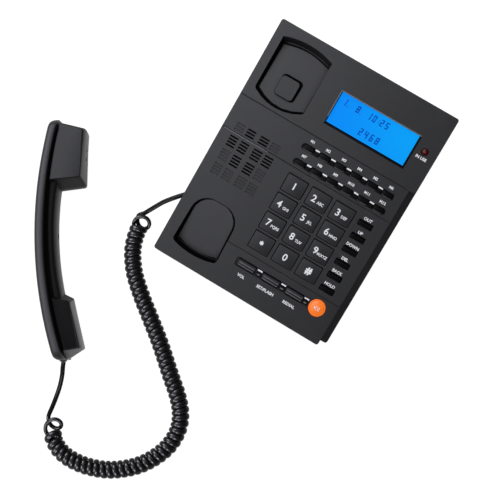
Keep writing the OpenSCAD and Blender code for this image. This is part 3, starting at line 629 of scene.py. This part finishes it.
cordRings = []
for i, p in enumerate(strand):
    wide, deep = section(i)
    out = heading[i].cross(across[i])
    cordRings.append([
        p + wide / 2 * cos(a) * across[i] + deep / 2 * sin(a) * out for a in circle(coil["sides"])
    ])
shape = skinned(cordRings)
shape.faces.index_update()
for face in shape.faces:
    face.material_index = 0 if curlStart <= face.index // coil["sides"] < curlEnd else 1
cord = addPiece("curlyCord", shape, baseSpace, None, [curlFinish, leadFinish])
cordPath = [baseSpace @ p for p in strand]
cordReal = sum((q - p).length for p, q in zip(cordPath, cordPath[1:]))
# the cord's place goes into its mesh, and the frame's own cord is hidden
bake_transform(cord)
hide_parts("handset_cord")
print("curly cord", round(cordReal, 3), "m")


def rectangle(x0, y0, x1, y1):
    return ((x0, y0), (x1, y0), (x1, y1), (x0, y1))


cornerSteps = 5


# corners are (x, y, radius)
def roundCorners(corners):
    points = []
    for i, (x, y, radius) in enumerate(corners):
        here = Vector((x, y))
        if radius <= 0:
            points.append(here)
            continue
        before = (Vector(corners[i - 1][:2]) - here).normalized()
        after = (Vector(corners[(i + 1) % len(corners)][:2]) - here).normalized()
        half = before.angle(after) / 2
        middle = here + (before + after).normalized() * radius / sin(half)
        first = here + before * radius / tan(half) - middle
        last = here + after * radius / tan(half) - middle
        for f in steps(0, 1, cornerSteps):
            points.append(middle + first.lerp(last, f).normalized() * radius)
    return points


# the way in from each corner of a closed outline
def inwardNormals(spots):
    turnSign = 1.0 if sum(spots[i - 1].cross(spots[i]) for i in range(len(spots))) > 0 else -1.0
    normals = []
    for i, spot in enumerate(spots):
        a = (spot - spots[i - 1]).normalized()
        b = (spots[(i + 1) % len(spots)] - spot).normalized()
        normals.append(Vector((-a.y - b.y, a.x + b.x)).normalized() * turnSign)
    return normals


# key caps: each side has its own slope, given as how far it leans in and how deep it falls
capFit = dict(flange=-3.9, slack=0.05, leastRadius=0.15, leanSteps=6)


def capRing(cap, lean, level=None):
    halfX, halfY = cap["width"] / 2 - capFit["slack"], cap["length"] / 2 - capFit["slack"]
    radius = max(cap["corner"] * (1 - 0.5 * lean), capFit["leastRadius"])
    ring = []
    for cx, cy, start in ((1, 1, 0), (-1, 1, 90), (-1, -1, 180), (1, -1, 270)):
        endLean, endFall = cap["rear"] if cy > 0 else cap["front"]
        for a in steps(radians(start), radians(start + 90), cornerSteps):
            ring.append(Vector((
                cx * (halfX - cap["side"] * lean - radius) + radius * cos(a),
                cy * (halfY - endLean * lean - radius) + radius * sin(a),
                cap["rise"] - endFall * roundOff(lean) if level is None else level,
            )))
    return ring


def capShape(cap):
    shape = bmesh.new()
    leans = [1 - cos(a) for a in steps(0, pi / 2, capFit["leanSteps"])]
    skinRings(shape, [capRing(cap, 0.0, capFit["flange"])] + [capRing(cap, lean) for lean in leans])
    return shape


def addCap(name, shape, x, t, finishes):
    addPiece("cap_" + name, shape, faceAt(dict(x=x, t=t)), name, finishes, [name])


# the slope at the front of a cap gets the second, lighter finish: a painted highlight
def paintFrontHighlight(shape, cap):
    front, top = cap["painted"]
    for face in shape.faces:
        middle = face.calc_center_median()
        if middle.y < front and 0.0 < middle.z < top:
            face.material_index = 1


def letterMesh(words, bold):
    curve = bpy.data.curves.new("letters", "FONT")
    curve.body = words
    curve.resolution_u = 3
    curve.offset = bold
    holder = addObject("letters", curve)
    mesh = meshOf(holder)
    bpy.data.objects.remove(holder)
    return mesh


capitalHeight = max(v.co.y for v in letterMesh("H", 0.0).vertices)


# flat polygons laid on a shape, all facing up
def layFaces(shape, faces, index):
    for corners in faces:
        face = shape.faces.new([shape.verts.new(p) for p in corners])
        face.material_index = index
        face.normal_update()
        if face.normal.z < 0:
            face.normal_flip()


# print words onto a shape: height is that of a capital, place is the middle of the word
def printWords(shape, words, height, place, bold, index=0, wide=1.0):
    mesh = letterMesh(words, bold)
    scale = height / capitalHeight
    xs, ys = [v.co.x for v in mesh.vertices], [v.co.y for v in mesh.vertices]
    middle = Vector(((min(xs) + max(xs)) / 2, (min(ys) + max(ys)) / 2, 0))
    space = Matrix.Translation(place) @ Matrix.Diagonal((scale * wide, scale, 1, 1))
    spots = [space @ (v.co - middle) for v in mesh.vertices]
    layFaces(shape, [[spots[k] for k in face.vertices] for face in mesh.polygons], index)


dialKeys = dict(
    xs=(75.7, 97.8, 119.9), ts=(111.0, 128.8, 146.5, 164.3), width=18.4, length=15.3, corner=1.0, rise=0.6,
    side=0.3, rear=(1.2, 1.5), front=(0.45, 0.5), digit=5.5, letters=2.3, printLift=0.03,
    digitAt=(-3.6, -0.3), lettersAt=(2.9, -1.9), aloneAt=(0.0, -0.3), lettersWide=0.92,
    marks=("1", "2ABC", "3DEF", "4GHI", "5JKL", "6MNO", "7PQRS", "8TUV", "9WXYZ", "*", "0", "#"),
    signs={"*": "star", "#": "hash"}, starBar=rectangle(-1.8, -0.5, 1.8, 0.5), starLift=0.01,
)
for i, mark in enumerate(dialKeys["marks"]):
    digit, letters = mark[0], mark[1:]
    shape = capShape(dialKeys)
    top = dialKeys["rise"] + dialKeys["printLift"]
    if letters:
        printWords(shape, digit, dialKeys["digit"], (*dialKeys["digitAt"], top), 0.02, 1)
        printWords(shape, letters, dialKeys["letters"], (*dialKeys["lettersAt"], top), 0.03, 1,
                   dialKeys["lettersWide"])
    elif digit == "*":
        for k in range(3):
            turned = Matrix.Rotation(radians(30 + 60 * k), 3, "Z")
            level = top + dialKeys["starLift"] * k
            layFaces(shape, [[turned @ Vector((x, y, level)) for x, y in dialKeys["starBar"]]], 1)
    else:
        bold = 0.05 if digit == "#" else 0.02
        printWords(shape, digit, dialKeys["digit"], (*dialKeys["aloneAt"], top), bold, 1)
    addCap("key_" + dialKeys["signs"].get(digit, digit), shape, dialKeys["xs"][i % 3], dialKeys["ts"][i // 3],
           [keyPlastic, printAndGlintFinish])

# places are (x, t), words are at t less back
memoryXs, memoryTs, rowT = [70.4 + 14.55 * i for i in range(6)], (79.3, 93.0), 187.0
memoryKeys = dict(
    places=[(x, t) for t in memoryTs for x in memoryXs], width=9.9, length=5.0, corner=2.2,
    rise=0.7, side=0.7, rear=(0.7, 0.8), front=(0.9, 0.8), painted=(-1.3, 0.55),
    words=[f"M{i + 1}" for i in range(12)], backs=[6.5] * 6 + [6.6] * 6, letters=2.1,
)
sideKeys = dict(
    places=[(140.3, 109.0 + 12.2 * i) for i in range(6)], width=12.3, length=4.5, corner=0.6, rise=0.8,
    side=0.3, rear=(1.9, 2.4), front=(0.6, 0.9), painted=(-1.5, 0.7),
    words=["OUT", "UP", "DOWN", "DEL", "BACK", "HOLD"], backs=[4.6] * 6, letters=2.3,
)
rowKeys = dict(
    places=[(x, rowT) for x in (74.4, 97.2, 119.6)], width=16.0, length=6.0, corner=0.6, rise=0.7, side=0.4,
    rear=(2.2, 2.2), front=(0.9, 1.2), ribs=(0.35, -1.8), ribInset=1.0, ribSteps=((0.3, 0.4), (0.2, 0.8)),
    words=["VOL", "SET/FLASH", "REDIAL"], backs=[-9.4] * 3, letters=2.3,
)


# two raised ribs in pale plastic across a bar key, for its two highlight lines: painted highlights
def addHighlightRibs(shape, cap):
    wide = cap["width"] / 2 - cap["ribInset"]
    for y in cap["ribs"]:
        skinRings(shape, [
            [(*p, level) for p in rectangle(-wide, y - half, wide, y + half)]
            for half, level in cap["ribSteps"]
        ], index=1)


for stem, keys, dress, finishes in (
    ("memory_key", memoryKeys, paintFrontHighlight, [glossKey, highlightPlastic]),
    ("side_key", sideKeys, paintFrontHighlight, [glossKey, casePlastic]),
    ("row_key", rowKeys, addHighlightRibs, [keyPlastic, highlightPlastic]),
):
    for i, place in enumerate(keys["places"]):
        shape = capShape(keys)
        dress(shape, keys)
        addCap(f"{stem}_{i + 1}", shape, *place, finishes)
print("key caps ready")

# printing on the face of the base
facePrint = dict(lamp=2.2, lampAt=(151.2, 40.8), level=0.03, bold=0.035)
shape = bmesh.new()
for keys in (memoryKeys, sideKeys, rowKeys):
    for word, (x, t), back in zip(keys["words"], keys["places"], keys["backs"]):
        printWords(shape, word, keys["letters"], onFace(x, t - back, facePrint["level"]), facePrint["bold"])
lampWords = onFace(*facePrint["lampAt"], facePrint["level"])
printWords(shape, "IN USE", facePrint["lamp"], lampWords, facePrint["bold"])
addPiece("facePrinting", shape, faceSpace, "base", [printAndGlintFinish], smooth=False)

# plates between the small keys, and the white and pale dashes by them, which are painted highlights
plateLevel, glintLevel = -0.65, -0.26
memoryGaps = [(a + b) / 2 for a, b in zip(memoryXs, memoryXs[1:])]
rowGaps = (86.0, 108.3, 130.2)
for name, xs, ts, level, size, finish in (
    ("memoryPlates", memoryGaps, memoryTs, plateLevel, (3.9, 4.7, 0.7), glossKey),
    ("memoryGlints", memoryGaps, [t - 2.0 for t in memoryTs], glintLevel, (4.0, 1.2, 0.1), printAndGlintFinish),
    ("rowPlates", rowGaps, [rowT], plateLevel, (4.4, 5.6, 0.7), glossKey),
    ("rowGlints", rowGaps, [184.7], glintLevel, (4.2, 1.2, 0.1), printAndGlintFinish),
    ("rowSmallGlints", rowGaps, [188.2], glintLevel, (2.6, 0.9, 0.1), highlightPlastic),
):
    addBlocks(name, [onFace(x, t, level) for x in xs for t in ts], size, finish)

# gold contacts in the line socket
contacts = dict(place=(35.0, 97.0, 21.4), pitch=1.3, size=(0.45, 9.0, 0.35), turn=(0.12, 0.0, 0.0))
lineContacts = [Vector(contacts["place"]) + Vector((contacts["pitch"] * (k - 1.5), 0, 0)) for k in range(4)]
addBlocks("lineContacts", lineContacts, contacts["size"], goldFinish, baseSpace, contacts["turn"])
print("printing ready")


# round pieces: a profile of (radius, level) turned about its axis
def turnedShape(profile, count=48):
    return skinned([
        [(radius * cos(a), radius * sin(a), level) for a in circle(count)] for radius, level in profile
    ])


# the red lamp
lens = [(lampAt["radius"], lampAt["foot"])]
for k in range(9):
    a = radians(10 * k)
    lens.append((
        lampAt["radius"] * cos(a), lampAt["waist"] + (lampAt["top"] - lampAt["waist"]) * sin(a),
    ))
addPiece("lampLens", turnedShape(lens), faceAt(lampAt), "base", [lensLook.material], ["in_use_led"])

# the orange button: a rim, a groove and a dome with a loudspeaker sign; the rim is (inset, level)
button = dict(
    x=140.8, t=rowT, radius=7.1, top=2.0, ball=19.0, domeInset=1.3, domeSteps=10, sign=0.8, signLift=0.05,
    rim=((0.0, -4.0), (0.0, 0.1), (0.15, 0.45), (0.5, 0.6), (0.9, 0.5), (1.1, 0.3)), waves=(2.0, 3.3),
)


def onDome(x, y, lift=0.0):
    return Vector((x, y, button["top"] - button["ball"] + sqrt(button["ball"]**2 - x * x - y * y) + lift))


profile = [(button["radius"] - inset, level) for inset, level in button["rim"]]
for r in steps(button["radius"] - button["domeInset"], 0.0, button["domeSteps"])[:-1]:
    profile.append((r, onDome(r, 0.0).z))
shape = turnedShape(profile)
bars = [rectangle(-2.9, -0.9, -1.6, 0.9), ((-1.4, -0.9), (0.3, -2.4), (0.3, 2.4), (-1.4, 0.9))]
for radius in button["waves"]:
    for k in range(6):
        bars.append([
            (r * cos(angle) - 0.4, r * sin(angle))
            for r, angle in rectangle(
                radius - 0.3, radians(-42 + 14 * k), radius + 0.3, radians(-28 + 14 * k),
            )
        ])
sign, signLift = button["sign"], button["signLift"]
layFaces(shape, [[onDome(x * sign, y * sign, signLift) for x, y in bar] for bar in bars], 1)
addPiece("orangeButton", shape, faceAt(button), "speaker_button", [glowingButtonLook.material, printAndGlintFinish],
         ["speaker_button"])

# the display: a dark tray, a lit glass, dark digits, a clear pane, and a rim, dark at the front and right,
# with a painted highlight at the rear and left
# slabs are left, right, rear, front, then low, high and bevel
display = dict(
    tray=(69.2, 143.9, 24.9, 55.9, -7.2, -4.3, 0.2), glass=(70.9, 141.6, 26.4, 53.4, -4.4, -4.08, 0.1),
    pane=(69.0, 144.2, 24.6, 56.4, -3.7, -2.55, 0.3), rimLevels=(-0.3, 0.12, 0.1),
    highlightRim=((70.2, 143.1, 25.5, 26.2), (69.8, 70.5, 25.9, 49.0)),
    darkRim=((69.8, 143.4, 54.4, 55.5), (142.4, 143.4, 26.2, 54.4)), print=-4.03, dot=0.8,
    dots=((79.2, 35.6), (91.2, 35.6), (107.2, 34.2), (107.5, 32.0)),
)


def slab(shape, left, right, rear, front, low, high, edge, index=0):
    skinRings(shape, [
        [onFace(x, t, n) for x, t in rectangle(left + inset, front - inset, right - inset, rear + inset)]
        for inset, n in ((0, low), (0, high - edge), (edge, high))
    ], index)


shape = bmesh.new()
slab(shape, *display["tray"])
slab(shape, *display["glass"], index=1)
faceOutward(shape)
segmentsOf = dict(zip("0123456789", (
    "abcdef", "bc", "abged", "abgcd", "fgbc", "afgcd", "afgedc", "abc", "abcdefg", "abcdfg",
)))
segment = dict(width=0.5, stroke=0.19, gap=0.12, slant=0.08)


def segmentDigit(shape, digit, x, y, h):
    w, s = h * segment["width"], h * segment["stroke"]
    gap = s * segment["gap"]
    bars = dict(
        a=(0, h - s, w, h), g=(0, (h - s) / 2, w, (h + s) / 2), d=(0, 0, w, s),
        f=(0, h / 2, s, h), b=(w - s, h / 2, w, h), e=(0, 0, s, h / 2), c=(w - s, 0, w, h / 2),
    )
    for label in segmentsOf[digit]:
        x0, y0, x1, y1 = bars[label]
        layFaces(shape, [[
            Vector((x + px + segment["slant"] * py, y + py, display["print"]))
            for px, py in rectangle(x0 + gap, y0 + gap, x1 - gap, y1 - gap)
        ]], 2)


for digits, x, t, height, pitch in (
    ("1", 75.0, 35.6, 6.0, 4.6), ("8", 87.0, 35.6, 6.0, 4.6), ("10", 97.5, 35.6, 6.0, 4.6),
    ("25", 108.8, 35.6, 6.0, 4.6), ("2468", 97.5, 50.0, 6.2, 5.0),
):
    for k, digit in enumerate(digits):
        segmentDigit(shape, digit, *onFace(x + k * pitch, t).xy, height)
for x, t in display["dots"]:
    dot = rectangle(0, 0, display["dot"], display["dot"])
    layFaces(shape, [[onFace(x, t) + Vector((*p, display["print"])) for p in dot]], 2)
addPiece("displayPanel", shape, faceSpace, "base", [trayPlastic, displayLook.material, segmentFinish],
         ["lcd_module"], smooth=False)
shape = bmesh.new()
slab(shape, *display["pane"])
faceOutward(shape)
addPiece("displayPane", shape, faceSpace, "base", [paneFinish], ["display_window"], smooth=False)
shape = bmesh.new()
# index 1 is the painted highlight on the rim
for index, sides in enumerate((display["darkRim"], display["highlightRim"])):
    for side in sides:
        slab(shape, *side, *display["rimLevels"], index)
faceOutward(shape)
addPiece("displayRim", shape, faceSpace, "base", [glossKey, highlightPlastic], smooth=False)
print("display ready")


# painted shade: dark bands laid by the cradle walls and round the hook button; widths are left, right, rear
# and front
def shadeBand(shape, spots, widths, level):
    left, right, rear, front = widths
    inner = []
    for spot, normal in zip(spots, inwardNormals(spots)):
        acrossShare = abs(normal.x) * (left if normal.x > 0 else right)
        alongShare = abs(normal.y) * (front if normal.y > 0 else rear)
        inner.append(spot + normal * (acrossShare + alongShare))
    for i in range(len(spots)):
        corners = [spots[i - 1], spots[i], inner[i], inner[i - 1]]
        layFaces(shape, [[Vector((p.x, p.y, level(p))) for p in corners]], 0)
    return inner


# depths are those of the floor at the rear and at the front
ear = dict(x=30.2, half=22.45, rear=7.9, front=64.9, depths=(9.0, 3.0), widths=(2.2, 0.7, 1.2, 2.0))
mouth = dict(x=30.7, half=20.6, rear=153.5, front=202.2, depths=(0.3, 9.5), widths=(1.9, 1.9, 0.3, 3.2))
hookHole = dict(x=30.8, edges=(-8.2, 54.7, 8.2, 37.9), corner=2.8, widths=(-0.3, -1.5, -1.5, -0.3))
shadeBandLift = 0.07


def cradleFloor(cradle):
    rear, front = cradle["rear"], cradle["front"]
    low, high = cradle["depths"]
    return lambda p: shadeBandLift - low - (high - low) * (faceSize["length"] - p.y - rear) / (front - rear)


def cornersOnFace(cradle, corners):
    return roundCorners([(*onFace(cradle["x"] + x, t).xy, radius) for x, t, radius in corners])


shape = bmesh.new()
earLine = cornersOnFace(ear, (
    (-ear["half"], ear["front"] - 6.9, 2.5), (0.0, ear["front"] + 6.3, 40.0),
    (ear["half"], ear["front"] - 6.9, 2.5), (ear["half"], ear["rear"] + 8.0, 1.0),
    (0.0, ear["rear"] + 3.0, 60.0), (-ear["half"], ear["rear"] + 8.0, 1.0),
))
shadeBand(shape, earLine, ear["widths"], cradleFloor(ear))
mouthLine = cornersOnFace(mouth, (
    (-mouth["half"], mouth["front"] - 3.6, 3.0), (0.0, mouth["front"] + 3.4, 55.0),
    (mouth["half"], mouth["front"] - 3.6, 3.0), (mouth["half"] - 1.2, mouth["rear"], 15.0),
    (1.2 - mouth["half"], mouth["rear"], 15.0),
))
mouthLevel = cradleFloor(mouth)
litMouthPad = shadeBand(shape, mouthLine, mouth["widths"], mouthLevel)
# the floor inside the mouth cradle's bands, in a lighter plastic: painted light
layFaces(shape, [[Vector((p.x, p.y, mouthLevel(p))) for p in litMouthPad]], 1)
# shade on the upper part of the mouth cradle's leaning front wall
shade = dict(arc=70.0, lean=radians(20.0), half=19.2, count=20, top=0.15, foot=6.4, proud=0.1)


def onFrontWall(x, depth):
    bow = (shade["arc"] - sqrt(shade["arc"]**2 - x * x)) / cos(shade["lean"])
    t = mouth["front"] - bow - depth * tan(shade["lean"]) - shade["proud"]
    return onFace(mouth["x"] + x, t, -depth)


wallStops = steps(-shade["half"], shade["half"], shade["count"])
for a, b in zip(wallStops, wallStops[1:]):
    corners = rectangle(a, shade["top"], b, shade["foot"])
    layFaces(shape, [[onFrontWall(x, depth) for x, depth in corners]], 0)
hookLine = cornersOnFace(hookHole, [(*p, hookHole["corner"]) for p in rectangle(*hookHole["edges"])])
shadeBand(shape, hookLine, hookHole["widths"], cradleFloor(ear))
addPiece("cradleShadeAndLight", shape, faceSpace, "base", [shadeSheetPlastic, litPadPlastic], smooth=False)

# a pale bead along the middle line of the face: a painted highlight
addBlocks("faceGlintBead", [onFace(22.5, 98.3, 0.02)], (41.0, 0.5, 0.2), highlightPlastic)
print("cradles ready")

# the spring under the hook button; the real one shortens as the button goes down, this one is built at one
# length
hookSpring = dict(
    x=30.8, t=46.3, low=-19.5, high=-12.1, radius=4.1, wire=0.8, turns=4, steps=20, sides=8, keep=0.56,
)
springCount = hookSpring["turns"] * hookSpring["steps"]
springRings = []
for i, rise in enumerate(steps(hookSpring["low"], hookSpring["high"], springCount)):
    a = 2 * pi * i / hookSpring["steps"]
    outward = Vector((cos(a), sin(a), 0.0))
    middle = onFace(hookSpring["x"], hookSpring["t"], rise) + hookSpring["radius"] * outward
    springRings.append([
        middle + hookSpring["wire"] / 2 * (cos(b) * outward + Vector((0, 0, sin(b))))
        for b in circle(hookSpring["sides"])
    ])
spring = addPiece("hookSpring", skinned(springRings), faceSpace, "base", [steelFinish],
                  ["hook_spring"])
springFoot = faceSpace @ onFace(hookSpring["x"], hookSpring["t"], hookSpring["low"] - hookSpring["wire"] / 2)
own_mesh(spring)
print("hook spring ready")


# the handset on its side: u along it, v across from the mouth and ear side to the back, z up
handset = dict(
    middle=22.0, backArc=350.0, seamArc=342.8, arcMiddle=-336.8, earEnd=99.2, mouthEnd=-98.0, backDeep=7.1,
    lean=0.085, edge=0.7, straightFrom=16.0, handleHalf=17.0, coreHalf=14.0,
    levels=(0, 0.1, 0.3, 0.6, 1.0, 1.6, 2.4, 3.4, 4.6, 6.0, 7.6, 9.4, 11.6, 14.2, 17.0),
)
# lying on its tapered side, the front leans a little
leaning = Matrix.Identity(4)
leaning[1][2] = -handset["lean"]
leaning[1][3] = handset["lean"] * handset["middle"]


def seamV(u):
    return handset["arcMiddle"] + sqrt(handset["seamArc"]**2 - u * u)


def halfWidth(v):
    return 21.0 + (v - 12.0) * 1.4 / 42.0


# corners are (u, v) at mid height, (u, v) at the side, radius and the depth of the rounding between them
def sideForm(shape, corners, half, panel=0):
    rings = []
    for way, levels in ((-1, handset["levels"]), (1, handset["levels"][::-1])):
        for deep in levels:
            mixed = []
            for middle, side, radius, fall in corners:
                share = min(deep / fall, 1.0)
                f = 1 - share if fall > handset["straightFrom"] else roundOff(share)
                mixed.append((*Vector(middle).lerp(Vector(side), f), radius))
            spots = roundCorners(mixed)
            inset = handset["edge"] * roundOff(min(deep / handset["edge"], 1.0))
            ring = []
            for spot, normal in zip(spots, inwardNormals(spots)):
                p = spot + normal * inset
                ring.append((p.x, p.y, handset["middle"] + way * (half(spot.y) - deep)))
            rings.append(ring)
    loops = skinRings(shape, rings)
    for loop in (loops[0], loops[-1]):
        for face in loop[0].link_faces:
            if len(face.verts) == len(loop):
                face.material_index = panel


# points along the seam, set back towards the sides
def alongSeam(start, end, count, back, fall):
    return [((u, seamV(u) - 0.1), (u, seamV(u) - 0.1 - back), 0, fall) for u in steps(start, end, count)]


# points at one distance from the seam
def besideSeam(stops, v):
    return [((u, seamV(u) + v), (u, seamV(u) + v), 0, 1.0) for u in stops]


earCap = (
    [((41.4, seamV(41.4)), (49.4, seamV(49.4) - 0.6), 0, 17)]
    + alongSeam(51.0, 91.0, 5, 0.6, 4.0)
    + [((96.6, seamV(96.6)), (95.0, -7.6), 0, 5.0), ((90.8, -29.6), (89.6, -25.9), 2.5, 10.0),
       ((43.8, -27.0), (50.4, -23.0), 2.5, 17)]
)
mouthCap = (
    [((-38.8, seamV(38.8)), (-48.0, seamV(48.0) + 0.6), 0, 17)]
    + alongSeam(-51.0, -86.0, 4, -0.8, 3.0)
    + [((-97.6, -4.2), (-90.4, -5.0), 0, 17), ((-96.2, -9.4), (-90.0, -8.5), 1.5, 17),
       ((-89.6, -20.4), (-88.4, -17.4), 1.5, 12.0), ((-47.6, -13.0), (-50.6, -11.2), 2.5, 17)]
)
handleBar = alongSeam(-54.0, 52.0, 14, 1.5, 5.0) + [
    ((u, -1.9 - 0.00195 * u * u), (u, min(2.6, seamV(u) - 3.2) - 0.0008 * u * u), 0, 14.0)
    for u in steps(52.0, -54.0, 14)
]
seamCore = besideSeam(steps(-88.0, 88.0, 16), 3.0) + besideSeam(steps(88.0, -88.0, 16), -2.5)


# holes cut into a solid
def drill(shape, points, radius, depth, tilt):
    cutter = runTree("drill", drillInputs, drillTree, points, {
        "Radius": radius, "Depth": depth, "Turn": (radians(90), 0.0, radians(tilt)),
        "Finish": mouthShadePlastic,
    }, Matrix.Identity(4))
    faceOutward(shape)
    solid = bpy.data.meshes.new("solid")
    shape.to_mesh(solid)
    shape.free()
    holders = [addObject("drilling", mesh) for mesh in (solid, cutter)]
    modifier = holders[0].modifiers.new("drill", "BOOLEAN")
    modifier.operation = "DIFFERENCE"
    modifier.solver = "EXACT"
    modifier.object = holders[1]
    drilled = bmesh.new()
    drilled.from_mesh(meshOf(holders[0]))
    for holder in holders:
        bpy.data.objects.remove(holder)
    return drilled


# one hole in the middle and a ring of holes around it
def drillRing(shape, holes):
    tilt = radians(holes["tilt"])
    middle = Vector((holes["u"], holes["v"], handset["middle"]))
    points = [middle]
    for a in circle(holes["count"]):
        along = holes["ring"] * cos(a)
        points.append(middle + Vector((
            along * cos(tilt), along * sin(tilt), holes["ring"] * sin(a),
        )))
    return drill(shape, points, holes["radius"], holes["depth"], holes["tilt"])


earHoles = dict(u=70.2, v=-26.2, ring=7.0, count=6, tilt=-3.81, radius=1.1, depth=5.0)
mouthHoles = dict(u=-70.0, v=-16.0, ring=4.0, count=2, tilt=9.98, radius=1.0, depth=5.0)
screwHole = dict(place=(4.0, -2.0, handset["middle"]), radius=2.5, depth=9.0, tilt=0.0)
# finishes of the front: 0 caps, 1 dark panels in painted shade, 2 the handle in a darker plastic as painted
# shade, 3 deeper painted shade on its sides
front = bmesh.new()
sideForm(front, earCap, halfWidth)
# the ear cap's walls towards the handle take the handle's darker plastic: painted shade
for face in front.faces:
    face.normal_update()
    if face.calc_center_median().x < 52.0 and abs(face.normal.x) > 0.5:
        face.material_index = 2
front = drillRing(front, earHoles)
mouthPart = bmesh.new()
sideForm(mouthPart, mouthCap, halfWidth, 1)
# faces by the seam and towards the handle take the dark panel finish: painted shade
for face in mouthPart.faces:
    middle = face.calc_center_median()
    if middle.y > seamV(middle.x) - 3.0 and middle.x > -89.0 or middle.x > -52.0:
        face.material_index = 1
mouthPart = drillRing(mouthPart, mouthHoles)
handle = bmesh.new()
sideForm(handle, handleBar, lambda v: handset["handleHalf"])
handle = drill(handle, [screwHole["place"]], screwHole["radius"], screwHole["depth"], screwHole["tilt"])
# the handle's faces that look up or down take the darkest finish: painted shade
for face in handle.faces:
    face.normal_update()
    face.material_index = 3 if abs(face.normal.z) > 0.6 else 2
sideForm(handle, seamCore, lambda v: handset["coreHalf"])
# the core by the seam takes the dark panel finish too: painted shade
for face in handle.faces:
    if face.material_index == 0:
        face.material_index = 1
for part in (mouthPart, handle):
    mesh = bpy.data.meshes.new("part")
    part.to_mesh(mesh)
    part.free()
    front.from_mesh(mesh)
faceOutward(front)
addPiece("handsetFront", front, handsetSpace @ leaning, "handset",
         [handsetPlastic, mouthShadePlastic, handleShadePlastic, handleDeepShade], ["handset_front_shell"])

# the back of the handset: sections along its arc, with round outer edges and round ends
backForm = dict(
    endRound=8.0, endLift=4.0, edge=3.0, slack=0.05, lip=((0.0, 1.3), (0.3, 0.5), (1.2, 0.0)),
    shorts=(0.05, 0.3, 0.8, 1.5, 2.4, 3.5, 5.0, 6.5, 8.0),
)


def backSection(u):
    short = min(handset["earEnd"] - u, u - handset["mouthEnd"])
    endRound, endLift, edge = backForm["endRound"], backForm["endLift"], backForm["edge"]
    half = handset["middle"] - backForm["slack"] - endRound * roundOff(min(short / endRound, 1.0))
    lift = endLift * roundOff(min(short / endLift, 1.0))
    outer = handset["arcMiddle"] + sqrt(handset["backArc"]**2 - u * u) + max(1.1 - 0.0135 * u, 0.0)
    deepest = handset["backDeep"] + max(-0.012 * u - 0.2, 0.0)
    side = [(deepest - rise, half - inset) for rise, inset in backForm["lip"]]
    for k in range(7):
        a = radians(15 * k)
        side.append((edge * (1 - sin(a)), half - edge * (1 - cos(a))))
    profile = [(deep, -z) for deep, z in side] + side[::-1]
    return [
        (u, outer - lift - deep * (deepest - lift) / deepest, handset["middle"] + z) for deep, z in profile
    ]


stations = [handset["mouthEnd"] + s for s in backForm["shorts"]] + steps(-86.0, 86.0, 24)
stations += [handset["earEnd"] - s for s in backForm["shorts"][::-1]]
back = skinned([backSection(u) for u in stations])
addPiece("handsetBack", back, handsetSpace, "handset", [shellPlastic], ["handset_back_shell"])

# a sleeve where the cord enters the handset
sleeve = dict(
    place=(-95.6, -2.8, 22.0), sides=24,
    profile=((4.4, 0.0), (4.4, 1.2), (4.0, 2.0), (2.9, 3.2), (2.2, 4.0), (1.75, 4.2)),
)
sleeveSpace = Matrix.Translation(sleeve["place"]) @ Matrix.Rotation(radians(-90), 4, "Y")
addPiece("cordSleeve", turnedShape(sleeve["profile"], sleeve["sides"]), handsetSpace @ sleeveSpace, "handset",
         [plugFinish])
print("handset ready")

# the studio: a white floor that glows, two broad lamps overhead, and a faint light all round
floorFinish = cloudyFinish(
    "floorFinish", (30.0, 2.0), (grey(0.10, 1.0), grey(0.12, 1.0)), {},
    glow=(grey(0.99, 1.0), grey(1.0, 1.0)), Roughness=0.9, Emission_Strength=1.0,
)
floorSize = dict(half=6.0, level=-0.0005)
half = floorSize["half"]
floorMesh = bpy.data.meshes.new("floor")
floorCorners = [(*p, floorSize["level"]) for p in rectangle(-half, -half, half, half)]
floorMesh.from_pydata(floorCorners, [], [(0, 1, 2, 3)])
floorMesh.materials.append(floorFinish.material)
addObject("floor", floorMesh)


def areaLamp(name, place, target, size, watts):
    data = bpy.data.lights.new(name, "AREA")
    data.shape = "RECTANGLE"
    data.size, data.size_y = size
    data.energy = watts
    data.color = (0.96, 0.97, 1.04)
    lamp = addObject(name, data)
    direction = Vector(target) - Vector(place)
    lamp.matrix_world = Matrix.Translation(place) @ direction.to_track_quat("-Z", "Y").to_matrix().to_4x4()
    return lamp


areaLamp("overheadLamp", (-0.96, 0.45, 1.7), (-0.96, 0.45, 0.0), (1.66, 2.0), 39.0)
areaLamp("frontLamp", (-0.65, -1.15, 1.7), (-0.65, -1.15, 0.0), (1.2, 1.2), 7.0)
# three lamps that light the cord alone and put glints on its curls
shiny = bpy.data.collections.new("shiny")
shiny.objects.link(cord)
glints = dict(
    places=((-1.3, 0.3, 1.0), (-0.9, -1.4, 1.1), (0.5, -1.6, 1.0)), target=(-0.03, -0.1, 0.0),
    size=(0.75, 0.75), watts=115.0,
)
for k, place in enumerate(glints["places"]):
    lamp = areaLamp(f"glintLamp{k + 1}", place, glints["target"], glints["size"], glints["watts"])
    lamp.light_linking.receiver_collection = shiny
world = bpy.data.worlds.new("studio")
world.use_nodes = True
sky = world.node_tree.nodes["Background"].inputs
sky["Color"].default_value = (1, 1, 1, 1)
sky["Strength"].default_value = 0.12
scene.world = world
scene.view_settings.view_transform = "Standard"

print("boxes written")
